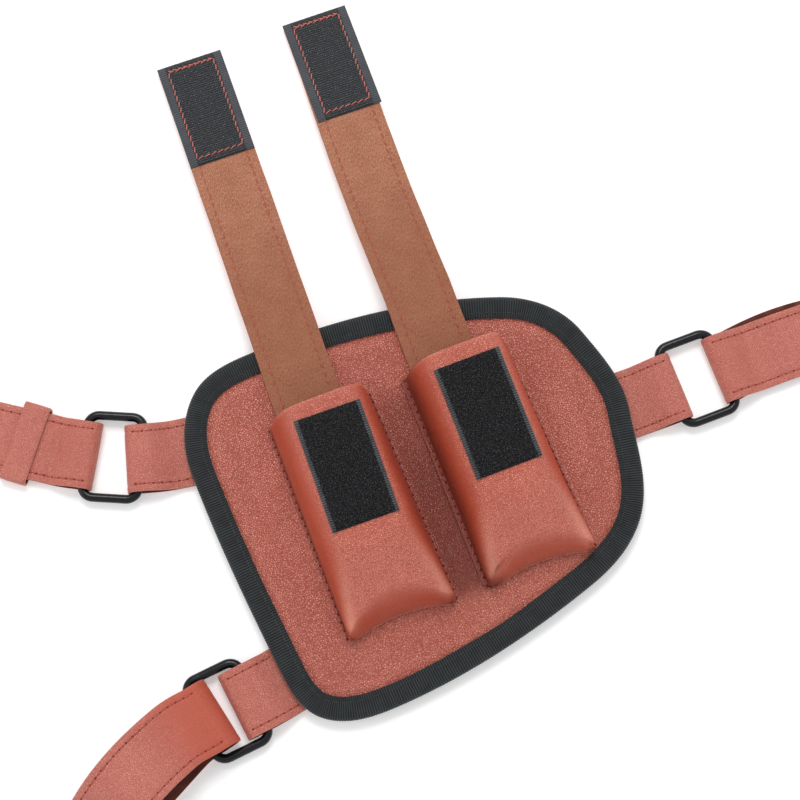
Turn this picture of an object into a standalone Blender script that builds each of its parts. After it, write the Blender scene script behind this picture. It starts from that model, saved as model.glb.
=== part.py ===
"""A breastplate: a bound chest panel with two pouches, two closing flaps and three ring-linked straps.

It lies on its back. The origin is the middle of the panel's back face, +X runs across the two
pouches, +Y towards their mouths and +Z out of the panel's front. Lengths are in metres.
"""

import math

import bmesh
import bpy
from mathutils import Vector

MM = 0.001
GAP = 0.3 * MM  # clearance kept between pieces that touch

# Panel: lining, foam and leather, pinched thin at the rim where the binding tape grips them.
# Each anchor of the outer edge is x and y in mm and a heading in degrees, anticlockwise.
OUTLINE_ANCHORS = (
    (-37.6, -70.5, 3.0),
    (43.0, -54.4, 18.0),
    (68.7, -37.9, 52.0),
    (80.5, 1.8, 79.0),
    (74.9, 36.4, 108.0),
    (50.8, 59.6, 160.0),
    (-42.8, 72.7, 182.0),
    (-70.8, 65.1, 224.0),
    (-81.5, 36.2, 271.0),
    (-75.9, -40.7, 276.5),
    (-67.0, -64.7, 322.0),
)
POINTS_PER_SPAN = 5
BINDING_LEG = 8.6 * MM
BINDING_THICK = 0.7 * MM
RIM_END = 8.9 * MM  # where the pinched rim starts to swell into the pad
PAD_FRONT_START = 10.6 * MM
PAD_BACK_START = 15.0 * MM
LINING_THICK = 0.8 * MM
LINING_RIM_THICK = 0.5 * MM
FOAM_THICK = 4.9 * MM
FOAM_RIM_THICK = 0.4 * MM
LEATHER_THICK = 1.1 * MM
LEATHER_RIM_THICK = 0.9 * MM

# Pouches: open-backed leather shells sewn to the panel by a narrow flange. A pair of values is for
# the mouth and the toe.
POUCH_MIDDLE_X = {"left": -27.2, "right": 27.6}  # mm
POUCH_LEAN = {"left": -1.6, "right": -2.4}  # mm that the foot at the mouth sits aside of the toe
POUCH_WALL = 1.2 * MM
POUCH_HEIGHT = 21.5 * MM
POUCH_TOE_HEIGHT = 13.5 * MM
POUCH_MOUTH_Y = 42.0 * MM
POUCH_FOOT_Y = -43.3 * MM
POUCH_SLOPE_Y = -6.0 * MM  # below here the front slopes down to the toe
POUCH_FLANGE = 1.0 * MM
POUCH_PINCH = 1.8 * MM  # how far the toe wall is drawn in between its corners
FOOT_HALF = (19.4 * MM, 20.8 * MM)  # half-width at the panel: mouth, toe
CREST_HALF = (14.2 * MM, 19.6 * MM)  # half-width of the flat front: mouth, toe

# Hook-and-loop tape.
TAPE_WIDTH = 25.4 * MM
LOOP_LENGTH = 43.2 * MM
LOOP_THICK = 1.1 * MM
LOOP_MIDDLE_Y = 15.4 * MM
LOOP_TURN = {"left": -1.1, "right": 0.2}
HOOK_LENGTH = 43.2 * MM
HOOK_THICK = 1.0 * MM

# Flaps: a leather strip with a fabric face. Each folds over at two lines, so that
# the hook tape at its tip comes down flat on the pouch's loop tape.
FLAP_PLACES = {"left": (-30.6, -1.5), "right": (22.3, -1.1)}  # x at the first fold in mm, turn in degrees
FLAP_FOLD_Y = 82.0 * MM
FLAP_TAIL = 46.0 * MM  # sewn down inside the pouch, back from the first fold
FLAP_FRONT = 88.1 * MM
FLAP_LEATHER = 1.0 * MM
FLAP_FABRIC = 0.6 * MM
FLAP_TAIL_WIDTH = 25.8 * MM
FLAP_BRIDGE_WIDTH = 26.0 * MM
FLAP_FRONT_WIDTH = 25.8 * MM
FLAP_DROOP = 3.8  # degrees that the free end hangs down, to the level of the ring tabs
FOLD_RECESS = 0.25 * MM

# Harness links: a folded tab on the panel, a rectangular wire ring and a folded strap.
WIRE_RADIUS = 1.7 * MM
RING_LENGTH = 21.2 * MM  # between the centres of its two strap bars
RING_HEIGHT = 31.2 * MM  # between the centres of its two end bars
RING_CORNER = 4.4 * MM
RING_SIDES = 10
STRAP_WIDTH = 26.0 * MM
STRAP_END_RADIUS = 5.0 * MM
STRAP_THICK = 1.2 * MM
STRAP_CLOSING = 12.0 * MM  # from a bar to where the two layers of its strap come together
LOOP_ROOM = 0.6 * MM  # between a bar and the leather round it
TAB_TAIL = 8.0 * MM  # sewn behind the binding
FOLD_SHARE = 0.3  # of a strip's turn that is there at its fold
KEEPER_THICK = 1.0 * MM
KEEPER_LENGTH = 10.0 * MM
KEEPER_WIDTH = 28.6 * MM  # inside
KEEPER_AT = 22.5 * MM  # along the strap from the ring's far bar
KEEPER_TURN = -4.0

RIM_Z = 2 * (GAP + STRAP_THICK)  # the rim stands clear of the ring tabs sewn behind it
LINING_RIM_Z = RIM_Z + BINDING_THICK + GAP
FOAM_RIM_Z = LINING_RIM_Z + LINING_RIM_THICK + GAP
LEATHER_RIM_Z = FOAM_RIM_Z + FOAM_RIM_THICK + GAP
BINDING_TOP_LEG_Z = LEATHER_RIM_Z + LEATHER_RIM_THICK + GAP
FOAM_Z = LINING_THICK + GAP
LEATHER_Z = FOAM_Z + FOAM_THICK + GAP
FRONT_Z = LEATHER_Z + LEATHER_THICK
BINDING_TOP = BINDING_TOP_LEG_Z + BINDING_THICK

ON_PANEL_Z = FRONT_Z + GAP
FLAP_THICK = FLAP_LEATHER + GAP + FLAP_FABRIC
FLAP_FACE_Z = ON_PANEL_Z + FLAP_THICK
LOOP_FACE_Z = ON_PANEL_Z + POUCH_HEIGHT + GAP + LOOP_THICK
FLAP_BRIDGE = LOOP_FACE_Z + GAP + HOOK_THICK + GAP - FLAP_FACE_Z

LOOP_RADIUS = WIRE_RADIUS + LOOP_ROOM
BAR_Z = STRAP_THICK + LOOP_RADIUS

# Each link: the tab bar's x and y in mm; headings in degrees of the tab, the ring and the strap;
# how far past the bar the tab's and the strap's folds start to turn, in mm; the tab's length from
# bar to panel edge and the strap's length; then how far the upper layer of the strap rises off the
# bar and how high it bows, and how far each layer waves sideways, all in mm. A positive wave goes
# to the left of the strap's heading. The upper wave crosses back over once and the lower one never.
LINKS = {
    "left": {
        "bar": (-97.3, 49.5),
        "tab_heading": 166.9,
        "ring_heading": 155.8,
        "strap_heading": 147.8,
        "tab_slack": 1.7,
        "strap_slack": 1.1,
        "tab_length": 17.5,
        "strap_length": 50.0,
        "rise": 0.0,
        "bow": 0.0,
        "upper_wave": 0.0,
        "lower_wave": 0.0,
    },
    "right": {
        "bar": (98.6, 4.0),
        "tab_heading": -1.0,
        "ring_heading": 0.0,
        "strap_heading": -0.3,
        "tab_slack": 0.4,
        "strap_slack": 0.4,
        "tab_length": 18.0,
        "strap_length": 50.0,
        "rise": 0.0,
        "bow": 1.6,
        "upper_wave": 0.0,
        "lower_wave": 2.4,
    },
    "lower": {
        "bar": (-88.0, -48.8),
        "tab_heading": 190.5,
        "ring_heading": 185.2,
        "strap_heading": 208.4,
        "tab_slack": 5.0,
        "strap_slack": 3.2,
        "tab_length": 12.5,
        "strap_length": 78.0,
        "rise": 2.6,
        "bow": 7.0,
        "upper_wave": -2.2,
        "lower_wave": 0.0,
    },
}


def clear_scene():
    for obj in list(bpy.data.objects):
        bpy.data.objects.remove(obj)


def material(name, colour, roughness, metallic=0.0):
    made = bpy.data.materials.new(name)
    made.use_nodes = True
    shader = made.node_tree.nodes["Principled BSDF"]
    shader.inputs["Base Color"].default_value = (*colour, 1.0)
    shader.inputs["Roughness"].default_value = roughness
    shader.inputs["Metallic"].default_value = metallic
    return made


def add_object(name, data, finish, parent=None, place=(0.0, 0.0, 0.0), turn=0.0):
    """An object at place, turned about Z by turn degrees, under an optional parent."""
    obj = bpy.data.objects.new(name, data)
    bpy.context.scene.collection.objects.link(obj)
    obj.parent = parent
    obj.location = place
    obj.rotation_euler = (0.0, 0.0, math.radians(turn))
    if data is not None:
        data.materials.append(finish)
    return obj


def add_mesh(name, points, faces, finish, smooth=True, **where):
    mesh = bpy.data.meshes.new(name)
    mesh.from_pydata([tuple(p) for p in points], [], faces)
    mesh.validate()
    if smooth:
        mesh.shade_smooth()
        mesh.set_sharp_from_angle(angle=math.radians(40))
    return add_object(name, mesh, finish, **where)


def face_out(mesh):
    """Turn a closed mesh's faces outwards."""
    work = bmesh.new()
    work.from_mesh(mesh)
    bmesh.ops.recalc_face_normals(work, faces=work.faces)
    work.to_mesh(mesh)
    work.free()


def add_hinge(name, parent, place, tilt=0.0, turn=0.0):
    """An empty on a joint's axis, tilted about X and turned about Z by degrees."""
    empty = add_object(name, None, None, parent, place, turn)
    empty.rotation_euler = (math.radians(tilt), 0.0, math.radians(turn))
    return empty


def heading_vector(degrees):
    return Vector((math.cos(math.radians(degrees)), math.sin(math.radians(degrees)), 0.0))


def smoothstep(t):
    t = min(1.0, max(0.0, t))
    return t * t * (3.0 - 2.0 * t)


def blend(a, b, t):
    return a + (b - a) * t


# ---------------------------------------------------------------- panel


def outline():
    """The panel's outer edge. Each span between two anchors is the cubic that fits a circular arc."""
    loop = []
    count = len(OUTLINE_ANCHORS)
    for i in range(count):
        x0, y0, h0 = OUTLINE_ANCHORS[i]
        x1, y1, h1 = OUTLINE_ANCHORS[(i + 1) % count]
        start = Vector((x0, y0, 0.0)) * MM
        end = Vector((x1, y1, 0.0)) * MM
        swing = math.radians((h1 - h0) % 360.0)
        reach = (end - start).length / (3.0 * math.cos(swing / 4.0) ** 2)
        out = start + heading_vector(h0) * reach
        back = end - heading_vector(h1) * reach
        for k in range(POINTS_PER_SPAN):
            t = k / POINTS_PER_SPAN
            s = 1.0 - t
            loop.append(start * s**3 + out * (3 * s * s * t) + back * (3 * s * t * t) + end * t**3)
    return loop


def inset(loop, distance, z):
    """The loop moved inwards by distance, at height z."""
    moved = []
    count = len(loop)
    for i, point in enumerate(loop):
        along = (loop[(i + 1) % count] - loop[i - 1]).normalized()
        inward = Vector((-along.y, along.x, 0.0))
        flat = point + inward * distance
        moved.append(Vector((flat.x, flat.y, z)))
    return moved


def stack_loops(loops, closed):
    """Points and faces that join each loop to the next, and the last to the first where closed."""
    count = len(loops[0])
    points = [p for loop in loops for p in loop]
    faces = []
    bands = len(loops) if closed else len(loops) - 1
    for j in range(bands):
        a = j * count
        b = ((j + 1) % len(loops)) * count
        for i in range(count):
            n = (i + 1) % count
            faces.append((a + i, a + n, b + n, b + i))
    if not closed:
        faces.append(tuple(reversed(range(count))))
        faces.append(tuple(range(len(points) - count, len(points))))
    return points, faces


def add_panel_layer(name, edge, rim, pad, starts, finish):
    """One layer of the panel. rim and pad are its lower and upper heights at the rim and in the pad,
    and starts how far in from the edge its lower and upper faces reach the pad's height."""
    steps = [
        (starts[0], pad[0]),
        (RIM_END, rim[0]),
        (BINDING_THICK + GAP, rim[0]),
        (BINDING_THICK + GAP, rim[1]),
        (RIM_END, rim[1]),
        (starts[1], pad[1]),
    ]
    points, faces = stack_loops([inset(edge, d, z) for d, z in steps], closed=False)
    return add_mesh(name, points, faces, finish)


def add_binding(edge, finish):
    """Tape folded round the rim: a U section with a rounded back."""
    t = BINDING_THICK
    top = BINDING_TOP
    soft = 1.1 * MM
    low = RIM_Z
    section = [
        (BINDING_LEG, low),
        (soft, low),
        (0.0, low + soft),
        (0.0, top - soft),
        (soft, top),
        (BINDING_LEG, top),
        (BINDING_LEG, top - t),
        (t, top - t),
        (t, low + t),
        (BINDING_LEG, low + t),
    ]
    points, faces = stack_loops([inset(edge, d, z) for d, z in section], closed=True)
    return add_mesh("edge_binding", points, faces, finish)


# ---------------------------------------------------------------- pouches


def pouch_point(lean_x, side, along, rise):
    """A point of a pouch's outer face. side is -1 or 1, along runs from the mouth, 0, to the toe, 1,
    and rise from the foot, 0, through the shoulder to the crest, 1."""
    toe_y = POUCH_FOOT_Y + 1.6 * MM * rise**3
    y = blend(POUCH_MOUTH_Y + 1.2 * MM * rise, toe_y, along)
    slope = smoothstep((POUCH_SLOPE_Y - y) / (POUCH_SLOPE_Y - POUCH_FOOT_Y))
    height = blend(POUCH_HEIGHT, POUCH_TOE_HEIGHT, slope)
    foot = blend(FOOT_HALF[0], FOOT_HALF[1], along)
    crest = blend(CREST_HALF[0], CREST_HALF[1], slope)
    half = blend(foot, crest, 0.55 * rise + 0.45 * rise**4)
    z = POUCH_WALL + (height - POUCH_WALL) * math.sin(rise * math.pi / 2) ** 0.9
    aside = lean_x * (1.0 - along) * (1.0 - rise)
    return Vector((side * half + aside, y, z))


def shifted_row(row, outward, z):
    """A row moved sideways by outward, in plan, at the heights z, with its two ends kept at the mouth."""
    moved = []
    for i, point in enumerate(row):
        ahead = row[min(i + 1, len(row) - 1)]
        behind = row[max(i - 1, 0)]
        along = (ahead - behind).normalized()
        flat = point + Vector((along.y, -along.x, 0.0)) * outward
        moved.append(Vector((flat.x, flat.y, z[i])))
    moved[0].y = row[0].y
    moved[-1].y = row[-1].y
    return moved


def pouch_row(lean_x, rise):
    """One row of the outer face: down the left side, round the pinched toe and up the right side."""
    sides = (0.0, 0.2, 0.4, 0.58, 0.72, 0.84, 0.92, 0.97)
    toe = (-0.8, -0.4, 0.0, 0.4, 0.8)
    corner = 0.965
    left = [pouch_point(lean_x, -1, s, rise) for s in sides]
    right = [pouch_point(lean_x, 1, s, rise) for s in reversed(sides)]
    end = pouch_point(lean_x, 1, 1.0, rise)
    left.append(Vector((-end.x * corner, blend(left[-1].y, end.y, 0.8), end.z)))
    right.insert(0, Vector((end.x * corner, blend(right[0].y, end.y, 0.8), end.z)))
    bottom = [Vector((end.x * k, end.y + (1.0 - k * k) * POUCH_PINCH, end.z)) for k in toe]
    return left + bottom + right


def add_pouch(name, place, lean_x, finish):
    """An open-backed shell with a flange round its foot, open at the mouth."""
    rises = (0.0, 0.22, 0.5, 0.8, 1.0)
    outer = [pouch_row(lean_x, rise) for rise in rises]
    count = len(outer[0])
    inner = []
    for row, rise in zip(outer, rises):
        drop = POUCH_WALL * max(rise**2, 1.0 if rise == 0.0 else 0.0)
        inner.append(shifted_row(row, -POUCH_WALL, [p.z - drop for p in row]))
    top = shifted_row(outer[0], POUCH_FLANGE, [POUCH_WALL] * count)
    bottom = shifted_row(outer[0], POUCH_FLANGE, [0.0] * count)

    rows = [bottom, top] + outer + inner[::-1]
    points = [p for row in rows for p in row]
    faces = []
    crest = 1 + len(outer)
    for j in range(len(rows)):
        if j == crest:
            continue
        a = j * count
        b = ((j + 1) % len(rows)) * count
        for i in range(count - 1):
            faces.append((a + i, a + i + 1, b + i + 1, b + i))
    middle = count // 2
    for a in (crest * count, (crest + 1) * count):
        for i in range(middle - 1):
            faces.append((a + i, a + i + 1, a + count - 2 - i, a + count - 1 - i))
        faces.append((a + middle - 1, a + middle, a + middle + 1))
    for end in (0, count - 1):
        last = len(rows) - 1
        faces.append((end, count + end, 2 * count + end, last * count + end))
        for k in range(len(outer) - 1):
            a, b = (2 + k) * count + end, (3 + k) * count + end
            c, d = (last - k - 1) * count + end, (last - k) * count + end
            faces.append((a, b, c, d))
    a, b = crest * count, (crest + 1) * count
    faces.append((a, a + count - 1, b + count - 1, b))
    shell = add_mesh(name, points, faces, finish, place=place)
    face_out(shell.data)
    return shell


def slab(width_start, width_end, y_start, y_end, z_low, z_high):
    """Points and faces of a flat strip along Y that may change its width."""
    points = []
    for z in (z_low, z_high):
        for width, y in ((width_start, y_start), (width_end, y_end)):
            points.append((-width / 2, y, z))
            points.append((width / 2, y, z))
    faces = [(0, 2, 3, 1), (4, 5, 7, 6), (0, 1, 5, 4), (1, 3, 7, 5), (3, 2, 6, 7), (2, 0, 4, 6)]
    return points, faces


def add_slab(name, sizes, finish, **where):
    points, faces = slab(*sizes)
    return add_mesh(name, points, faces, finish, smooth=False, **where)


# ---------------------------------------------------------------- flaps


def add_flap(side, finishes):
    """A flap in three rigid lengths: its tail on the panel, the bridge and the front with its hook tape.
    The fold axes lie in the fabric face, so that folding opens the outer side and nothing overlaps."""
    x, turn = FLAP_PLACES[side]
    leather, fabric, tape = finishes
    first = add_hinge(f"flap_{side}_first_fold", None, (x * MM, FLAP_FOLD_Y, FLAP_FACE_Z), -FLAP_DROOP, turn)
    second = add_hinge(f"flap_{side}_second_fold", first, (0.0, FLAP_BRIDGE, 0.0))
    tail = add_hinge(f"flap_{side}_tail_place", None, (x * MM, FLAP_FOLD_Y, FLAP_FACE_Z), 0.0, turn)
    lengths = {
        "tail": (tail, -FLAP_TAIL, -FOLD_RECESS, FLAP_TAIL_WIDTH, FLAP_TAIL_WIDTH),
        "bridge": (first, FOLD_RECESS, FLAP_BRIDGE - FOLD_RECESS, FLAP_BRIDGE_WIDTH, FLAP_BRIDGE_WIDTH),
        "front": (second, FOLD_RECESS, FLAP_FRONT, FLAP_FRONT_WIDTH, FLAP_FRONT_WIDTH),
    }
    for part, (parent, start, end, width_start, width_end) in lengths.items():
        span = (width_start, width_end, start, end)
        add_slab(f"flap_{side}_{part}_fabric", (*span, -FLAP_FABRIC, 0.0), fabric, parent=parent)
        low = -FLAP_THICK
        add_slab(f"flap_{side}_{part}_leather", (*span, low, low + FLAP_LEATHER), leather, parent=parent)
    hook_span = (TAPE_WIDTH, TAPE_WIDTH, FLAP_FRONT - HOOK_LENGTH, FLAP_FRONT)
    add_slab(f"flap_{side}_hook_tape", (*hook_span, GAP, GAP + HOOK_THICK), tape, parent=second)


# ---------------------------------------------------------------- harness links


def ribbon(stations, thick):
    """A flat strip through stations of (centre, unit vector to the left, width)."""
    points = []
    faces = []
    for i, (centre, left, width) in enumerate(stations):
        ahead = stations[min(i + 1, len(stations) - 1)][0]
        behind = stations[max(i - 1, 0)][0]
        up = (ahead - behind).cross(left).normalized()
        for across, lift in ((-1, -1), (1, -1), (1, 1), (-1, 1)):
            points.append(centre + left * (across * width / 2) + up * (lift * thick / 2))
    for i in range(len(stations) - 1):
        a = 4 * i
        for k in range(4):
            n = (k + 1) % 4
            faces.append((a + k, a + n, a + 4 + n, a + 4 + k))
    faces.append((3, 2, 1, 0))
    last = 4 * (len(stations) - 1)
    faces.append((last, last + 1, last + 2, last + 3))
    return points, faces


def strip_station(x, z, length, turn, wave, crossings, rounded):
    """The strip's centre, left and width at x along it. The strip turns by turn degrees in all, part
    of it at the fold and the rest over its closing stretch, and waves sideways along its length."""

    def aside(at):
        u = max(0.0, at / STRAP_CLOSING)
        turned = u**3 - 0.5 * u**4 if u < 1.0 else u - 0.5
        swing = FOLD_SHARE * at + (1.0 - FOLD_SHARE) * turned * STRAP_CLOSING
        run = min(1.0, max(0.0, at / length))
        fade = 1.0 - smoothstep((run - 0.75) / 0.25) if crossings else 1.0
        return math.radians(turn) * swing + wave * fade * math.sin(math.pi * (1.0 + 0.6 * crossings) * run)

    step = 0.5 * MM
    yaw = math.atan2(aside(x + step) - aside(x - step), 2 * step)
    width = STRAP_WIDTH
    to_end = length - x
    if rounded and to_end < STRAP_END_RADIUS:
        bite = 1.0 - to_end / STRAP_END_RADIUS
        width -= 2 * STRAP_END_RADIUS * (1.0 - math.sqrt(1.0 - min(1.0, bite) ** 2))
    return Vector((x, aside(x), z)), Vector((-math.sin(yaw), math.cos(yaw), 0.0)), width


def folded_strip(
    length, slack, turn, rise=0.0, lift=0.0, bow=0.0, upper_wave=0.0, lower_wave=0.0, rounded=True
):
    """A strip folded round a bar at the origin. It runs from its far end along the lower layer, round
    the fold and back along the upper one, and X points from the bar to the far end. The layers close
    up over their first stretch, or over most of their length where the upper one bows well up."""
    half = STRAP_THICK / 2
    low = -LOOP_RADIUS - half
    closed_top = low + STRAP_THICK + GAP
    open_top = LOOP_RADIUS + half + 2 * rise
    fold_middle = (low + open_top) / 2
    fold_radius = (open_top - low) / 2
    tall = bow > 5 * MM
    steps = 13 if tall else 8
    plain = length - STRAP_END_RADIUS if rounded else length
    along = [plain * i / steps for i in range(steps + 1)]
    if rounded:
        along += [length - STRAP_END_RADIUS * d for d in (0.55, 0.25, 0.07, 0.0)]

    def raised(x):
        return lift * smoothstep((x - STRAP_CLOSING * 0.4) / STRAP_CLOSING)

    stations = []
    for x in reversed(along):
        at = -slack if x == 0.0 else x
        stations.append(strip_station(at, low + raised(x), length, turn, lower_wave, 0, rounded))
    turns = 8
    for i in range(1, turns):
        angle = math.pi * i / turns
        x = -slack - fold_radius * math.sin(angle)
        z = fold_middle - fold_radius * math.cos(angle)
        stations.append(strip_station(x, z, length, turn, 0.0, 0, rounded))
    for x in along:
        at = -slack if x == 0.0 else x
        drop = smoothstep((x - WIRE_RADIUS) / STRAP_CLOSING)
        if tall:
            drop = smoothstep((x - length * 0.45) / (length * 0.37))
        arch = bow * math.sin(math.pi * min(1.0, x / (length * 0.82))) ** 2
        z = max(blend(open_top, closed_top, drop), closed_top + raised(x)) + arch
        crossings = 1 if tall else 0
        stations.append(strip_station(at, z, length, turn, upper_wave, crossings, rounded))
    return ribbon(stations, STRAP_THICK)


def add_ring(name, parent, finish):
    """A rectangular wire ring that lies along X from the bar at its origin."""
    path = []
    half = RING_HEIGHT / 2
    corners = ((0.0, -half, 180), (RING_LENGTH, -half, 270), (RING_LENGTH, half, 0), (0.0, half, 90))
    steps = 5
    for x, y, start in corners:
        middle = Vector((x, y, 0.0))
        middle.x += RING_CORNER if x == 0.0 else -RING_CORNER
        middle.y += RING_CORNER if y < 0.0 else -RING_CORNER
        for k in range(steps + 1):
            path.append((middle, heading_vector(start + 90.0 * k / steps)))
    loops = []
    for k in range(RING_SIDES):
        angle = 2 * math.pi * (k + 0.5) / RING_SIDES
        reach = RING_CORNER + WIRE_RADIUS * math.cos(angle)
        height = WIRE_RADIUS * math.sin(angle)
        loops.append([middle + out * reach + Vector((0.0, 0.0, height)) for middle, out in path])
    points, faces = stack_loops(loops, closed=True)
    return add_mesh(name, points, faces, finish, parent=parent)


def add_keeper(name, parent, place, turn, thickness_inside, finish):
    """A flat leather sleeve round both layers of a strap, with softened outer edges."""
    soft = 0.6 * MM
    half_in = KEEPER_WIDTH / 2
    half_out = half_in + KEEPER_THICK
    high_out = thickness_inside / 2 + KEEPER_THICK
    outer = []
    for x, z in ((half_out, high_out), (-half_out, high_out), (-half_out, -high_out), (half_out, -high_out)):
        side = math.copysign(soft, x)
        tall = math.copysign(soft, z)
        pair = [(x, z - tall), (x - side, z)]
        outer += pair if x * z > 0 else pair[::-1]
    high = thickness_inside / 2
    inner = []
    for x, z in ((half_in, high), (-half_in, high), (-half_in, -high), (half_in, -high)):
        nudge = math.copysign(soft / 4, x)
        sink = math.copysign(soft / 4, z)
        pair = [(x, z - sink), (x - nudge, z)]
        inner += pair if x * z > 0 else pair[::-1]
    loops = []
    for x, section in ((-1, outer), (1, outer), (1, inner), (-1, inner)):
        loops.append([Vector((x * KEEPER_LENGTH / 2, y, z)) for y, z in section])
    points, faces = stack_loops(loops, closed=True)
    return add_mesh(name, points, faces, finish, smooth=False, parent=parent, place=place, turn=turn)


def add_link(side, finishes):
    """A tab folded round the ring's near bar, the ring, and the strap folded round its far bar."""
    leather, steel = finishes
    link = LINKS[side]
    bar = Vector((link["bar"][0] * MM, link["bar"][1] * MM, BAR_Z))
    ring_heading = link["ring_heading"]

    points, faces = folded_strip(
        length=link["tab_length"] * MM + TAB_TAIL,
        slack=link["tab_slack"] * MM,
        turn=link["tab_heading"] - ring_heading,
        rounded=False,
    )
    add_mesh(f"tab_{side}", points, faces, leather, place=bar, turn=ring_heading + 180.0)

    near = add_hinge(f"ring_{side}_near_bar", None, bar, 0.0, ring_heading)
    add_ring(f"ring_{side}", near, steel)

    far = add_hinge(f"ring_{side}_far_bar", near, (RING_LENGTH, 0.0, 0.0))
    out = link["strap_heading"] - ring_heading
    points, faces = folded_strip(
        length=link["strap_length"] * MM,
        slack=link["strap_slack"] * MM,
        turn=out,
        rise=link["rise"] * MM,
        lift=KEEPER_THICK + GAP if side == "left" else 0.0,
        bow=link["bow"] * MM,
        upper_wave=link["upper_wave"] * MM,
        lower_wave=link["lower_wave"] * MM,
    )
    add_mesh(f"strap_{side}", points, faces, leather, parent=far)

    if side == "left":
        inside = 2 * STRAP_THICK + 3 * GAP
        aside = strip_station(KEEPER_AT, 0.0, link["strap_length"] * MM, out, 0.0, 0, False)[0].y
        place = (KEEPER_AT, aside, KEEPER_THICK + inside / 2 - BAR_Z)
        add_keeper("keeper_left", far, place, out + KEEPER_TURN, inside, leather)


def main():
    clear_scene()
    leather = material("leather", (0.46, 0.11, 0.07), 0.45)
    fabric = material("fabric", (0.36, 0.15, 0.08), 0.9)
    lining = material("lining", (0.10, 0.045, 0.03), 0.9)
    foam = material("foam", (0.03, 0.03, 0.03), 0.9)
    tape = material("tape", (0.02, 0.025, 0.028), 0.8)
    steel = material("black_steel", (0.03, 0.034, 0.04), 0.3, 0.8)

    edge = outline()
    rim = (LINING_RIM_Z, LINING_RIM_Z + LINING_RIM_THICK)
    starts = (PAD_BACK_START, PAD_BACK_START)
    add_panel_layer("panel_back_lining", edge, rim, (0.0, LINING_THICK), starts, lining)
    rim = (FOAM_RIM_Z, FOAM_RIM_Z + FOAM_RIM_THICK)
    starts = (PAD_BACK_START, PAD_FRONT_START)
    add_panel_layer("panel_foam_core", edge, rim, (FOAM_Z, FOAM_Z + FOAM_THICK), starts, foam)
    rim = (LEATHER_RIM_Z, LEATHER_RIM_Z + LEATHER_RIM_THICK)
    starts = (PAD_FRONT_START, PAD_FRONT_START)
    add_panel_layer("panel_front_leather", edge, rim, (LEATHER_Z, FRONT_Z), starts, leather)
    add_binding(edge, tape)

    for side, x in POUCH_MIDDLE_X.items():
        place = Vector((x * MM, 0.0, ON_PANEL_Z))
        add_pouch(f"pouch_{side}_shell", place, POUCH_LEAN[side] * MM, leather)
        sizes = (TAPE_WIDTH, TAPE_WIDTH, -LOOP_LENGTH / 2, LOOP_LENGTH / 2, 0.0, LOOP_THICK)
        place += Vector((0.0, LOOP_MIDDLE_Y, POUCH_HEIGHT + GAP))
        add_slab(f"pouch_{side}_loop_tape", sizes, tape, place=place, turn=LOOP_TURN[side])
        add_flap(side, (leather, fabric, tape))
    for side in LINKS:
        add_link(side, (leather, steel))


main()
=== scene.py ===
"""How the breastplate looks: leather, cloth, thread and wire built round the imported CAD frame."""

import math
import random

import bmesh
import bpy
from mathutils import Matrix, Vector, noise
from mathutils.bvhtree import BVHTree


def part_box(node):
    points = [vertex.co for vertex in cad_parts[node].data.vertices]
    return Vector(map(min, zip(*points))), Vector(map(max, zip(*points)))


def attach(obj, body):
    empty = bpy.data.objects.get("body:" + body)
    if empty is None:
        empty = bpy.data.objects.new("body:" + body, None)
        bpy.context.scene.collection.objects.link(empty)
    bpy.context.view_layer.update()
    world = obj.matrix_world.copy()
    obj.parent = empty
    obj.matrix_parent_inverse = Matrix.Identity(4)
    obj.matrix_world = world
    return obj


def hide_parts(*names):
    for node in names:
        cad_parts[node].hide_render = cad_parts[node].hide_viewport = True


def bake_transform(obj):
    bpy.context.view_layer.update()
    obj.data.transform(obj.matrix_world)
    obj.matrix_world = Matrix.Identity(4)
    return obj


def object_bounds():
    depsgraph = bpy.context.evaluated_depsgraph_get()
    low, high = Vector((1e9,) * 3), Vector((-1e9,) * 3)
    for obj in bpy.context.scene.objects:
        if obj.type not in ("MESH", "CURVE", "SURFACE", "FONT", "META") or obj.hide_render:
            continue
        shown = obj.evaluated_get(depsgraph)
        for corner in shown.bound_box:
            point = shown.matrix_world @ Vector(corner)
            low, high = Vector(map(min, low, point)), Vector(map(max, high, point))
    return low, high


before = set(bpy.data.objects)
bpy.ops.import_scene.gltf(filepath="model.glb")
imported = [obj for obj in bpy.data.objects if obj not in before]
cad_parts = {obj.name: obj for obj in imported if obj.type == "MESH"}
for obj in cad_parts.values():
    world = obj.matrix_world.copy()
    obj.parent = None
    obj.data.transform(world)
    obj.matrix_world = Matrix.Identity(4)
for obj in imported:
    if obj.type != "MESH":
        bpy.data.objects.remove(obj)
cad_low, cad_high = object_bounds()

MM = 0.001
UP = Vector((0.0, 0.0, 1.0))

# The panel's outer edge: x and y in mm and a heading in degrees at each anchor, as in the CAD.
OUTLINE_ANCHORS = (
    (-37.6, -70.5, 3.0),
    (43.0, -54.4, 18.0),
    (68.7, -37.9, 52.0),
    (80.5, 1.8, 79.0),
    (74.9, 36.4, 108.0),
    (50.8, 59.6, 160.0),
    (-42.8, 72.7, 182.0),
    (-70.8, 65.1, 224.0),
    (-81.5, 36.2, 271.0),
    (-75.9, -40.7, 276.5),
    (-67.0, -64.7, 322.0),
)
BINDING_THICK = 0.7 * MM
BINDING_SEAM = 6.6 * MM
BINDING_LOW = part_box("edge_binding")[0].z
BINDING_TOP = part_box("edge_binding")[1].z
RIB = 0.97 * MM
FRONT_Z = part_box("panel_front_leather")[1].z
LEATHER_LOW_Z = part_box("panel_front_leather")[0].z
ON_PANEL_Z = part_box("pouch_left_shell")[0].z

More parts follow.
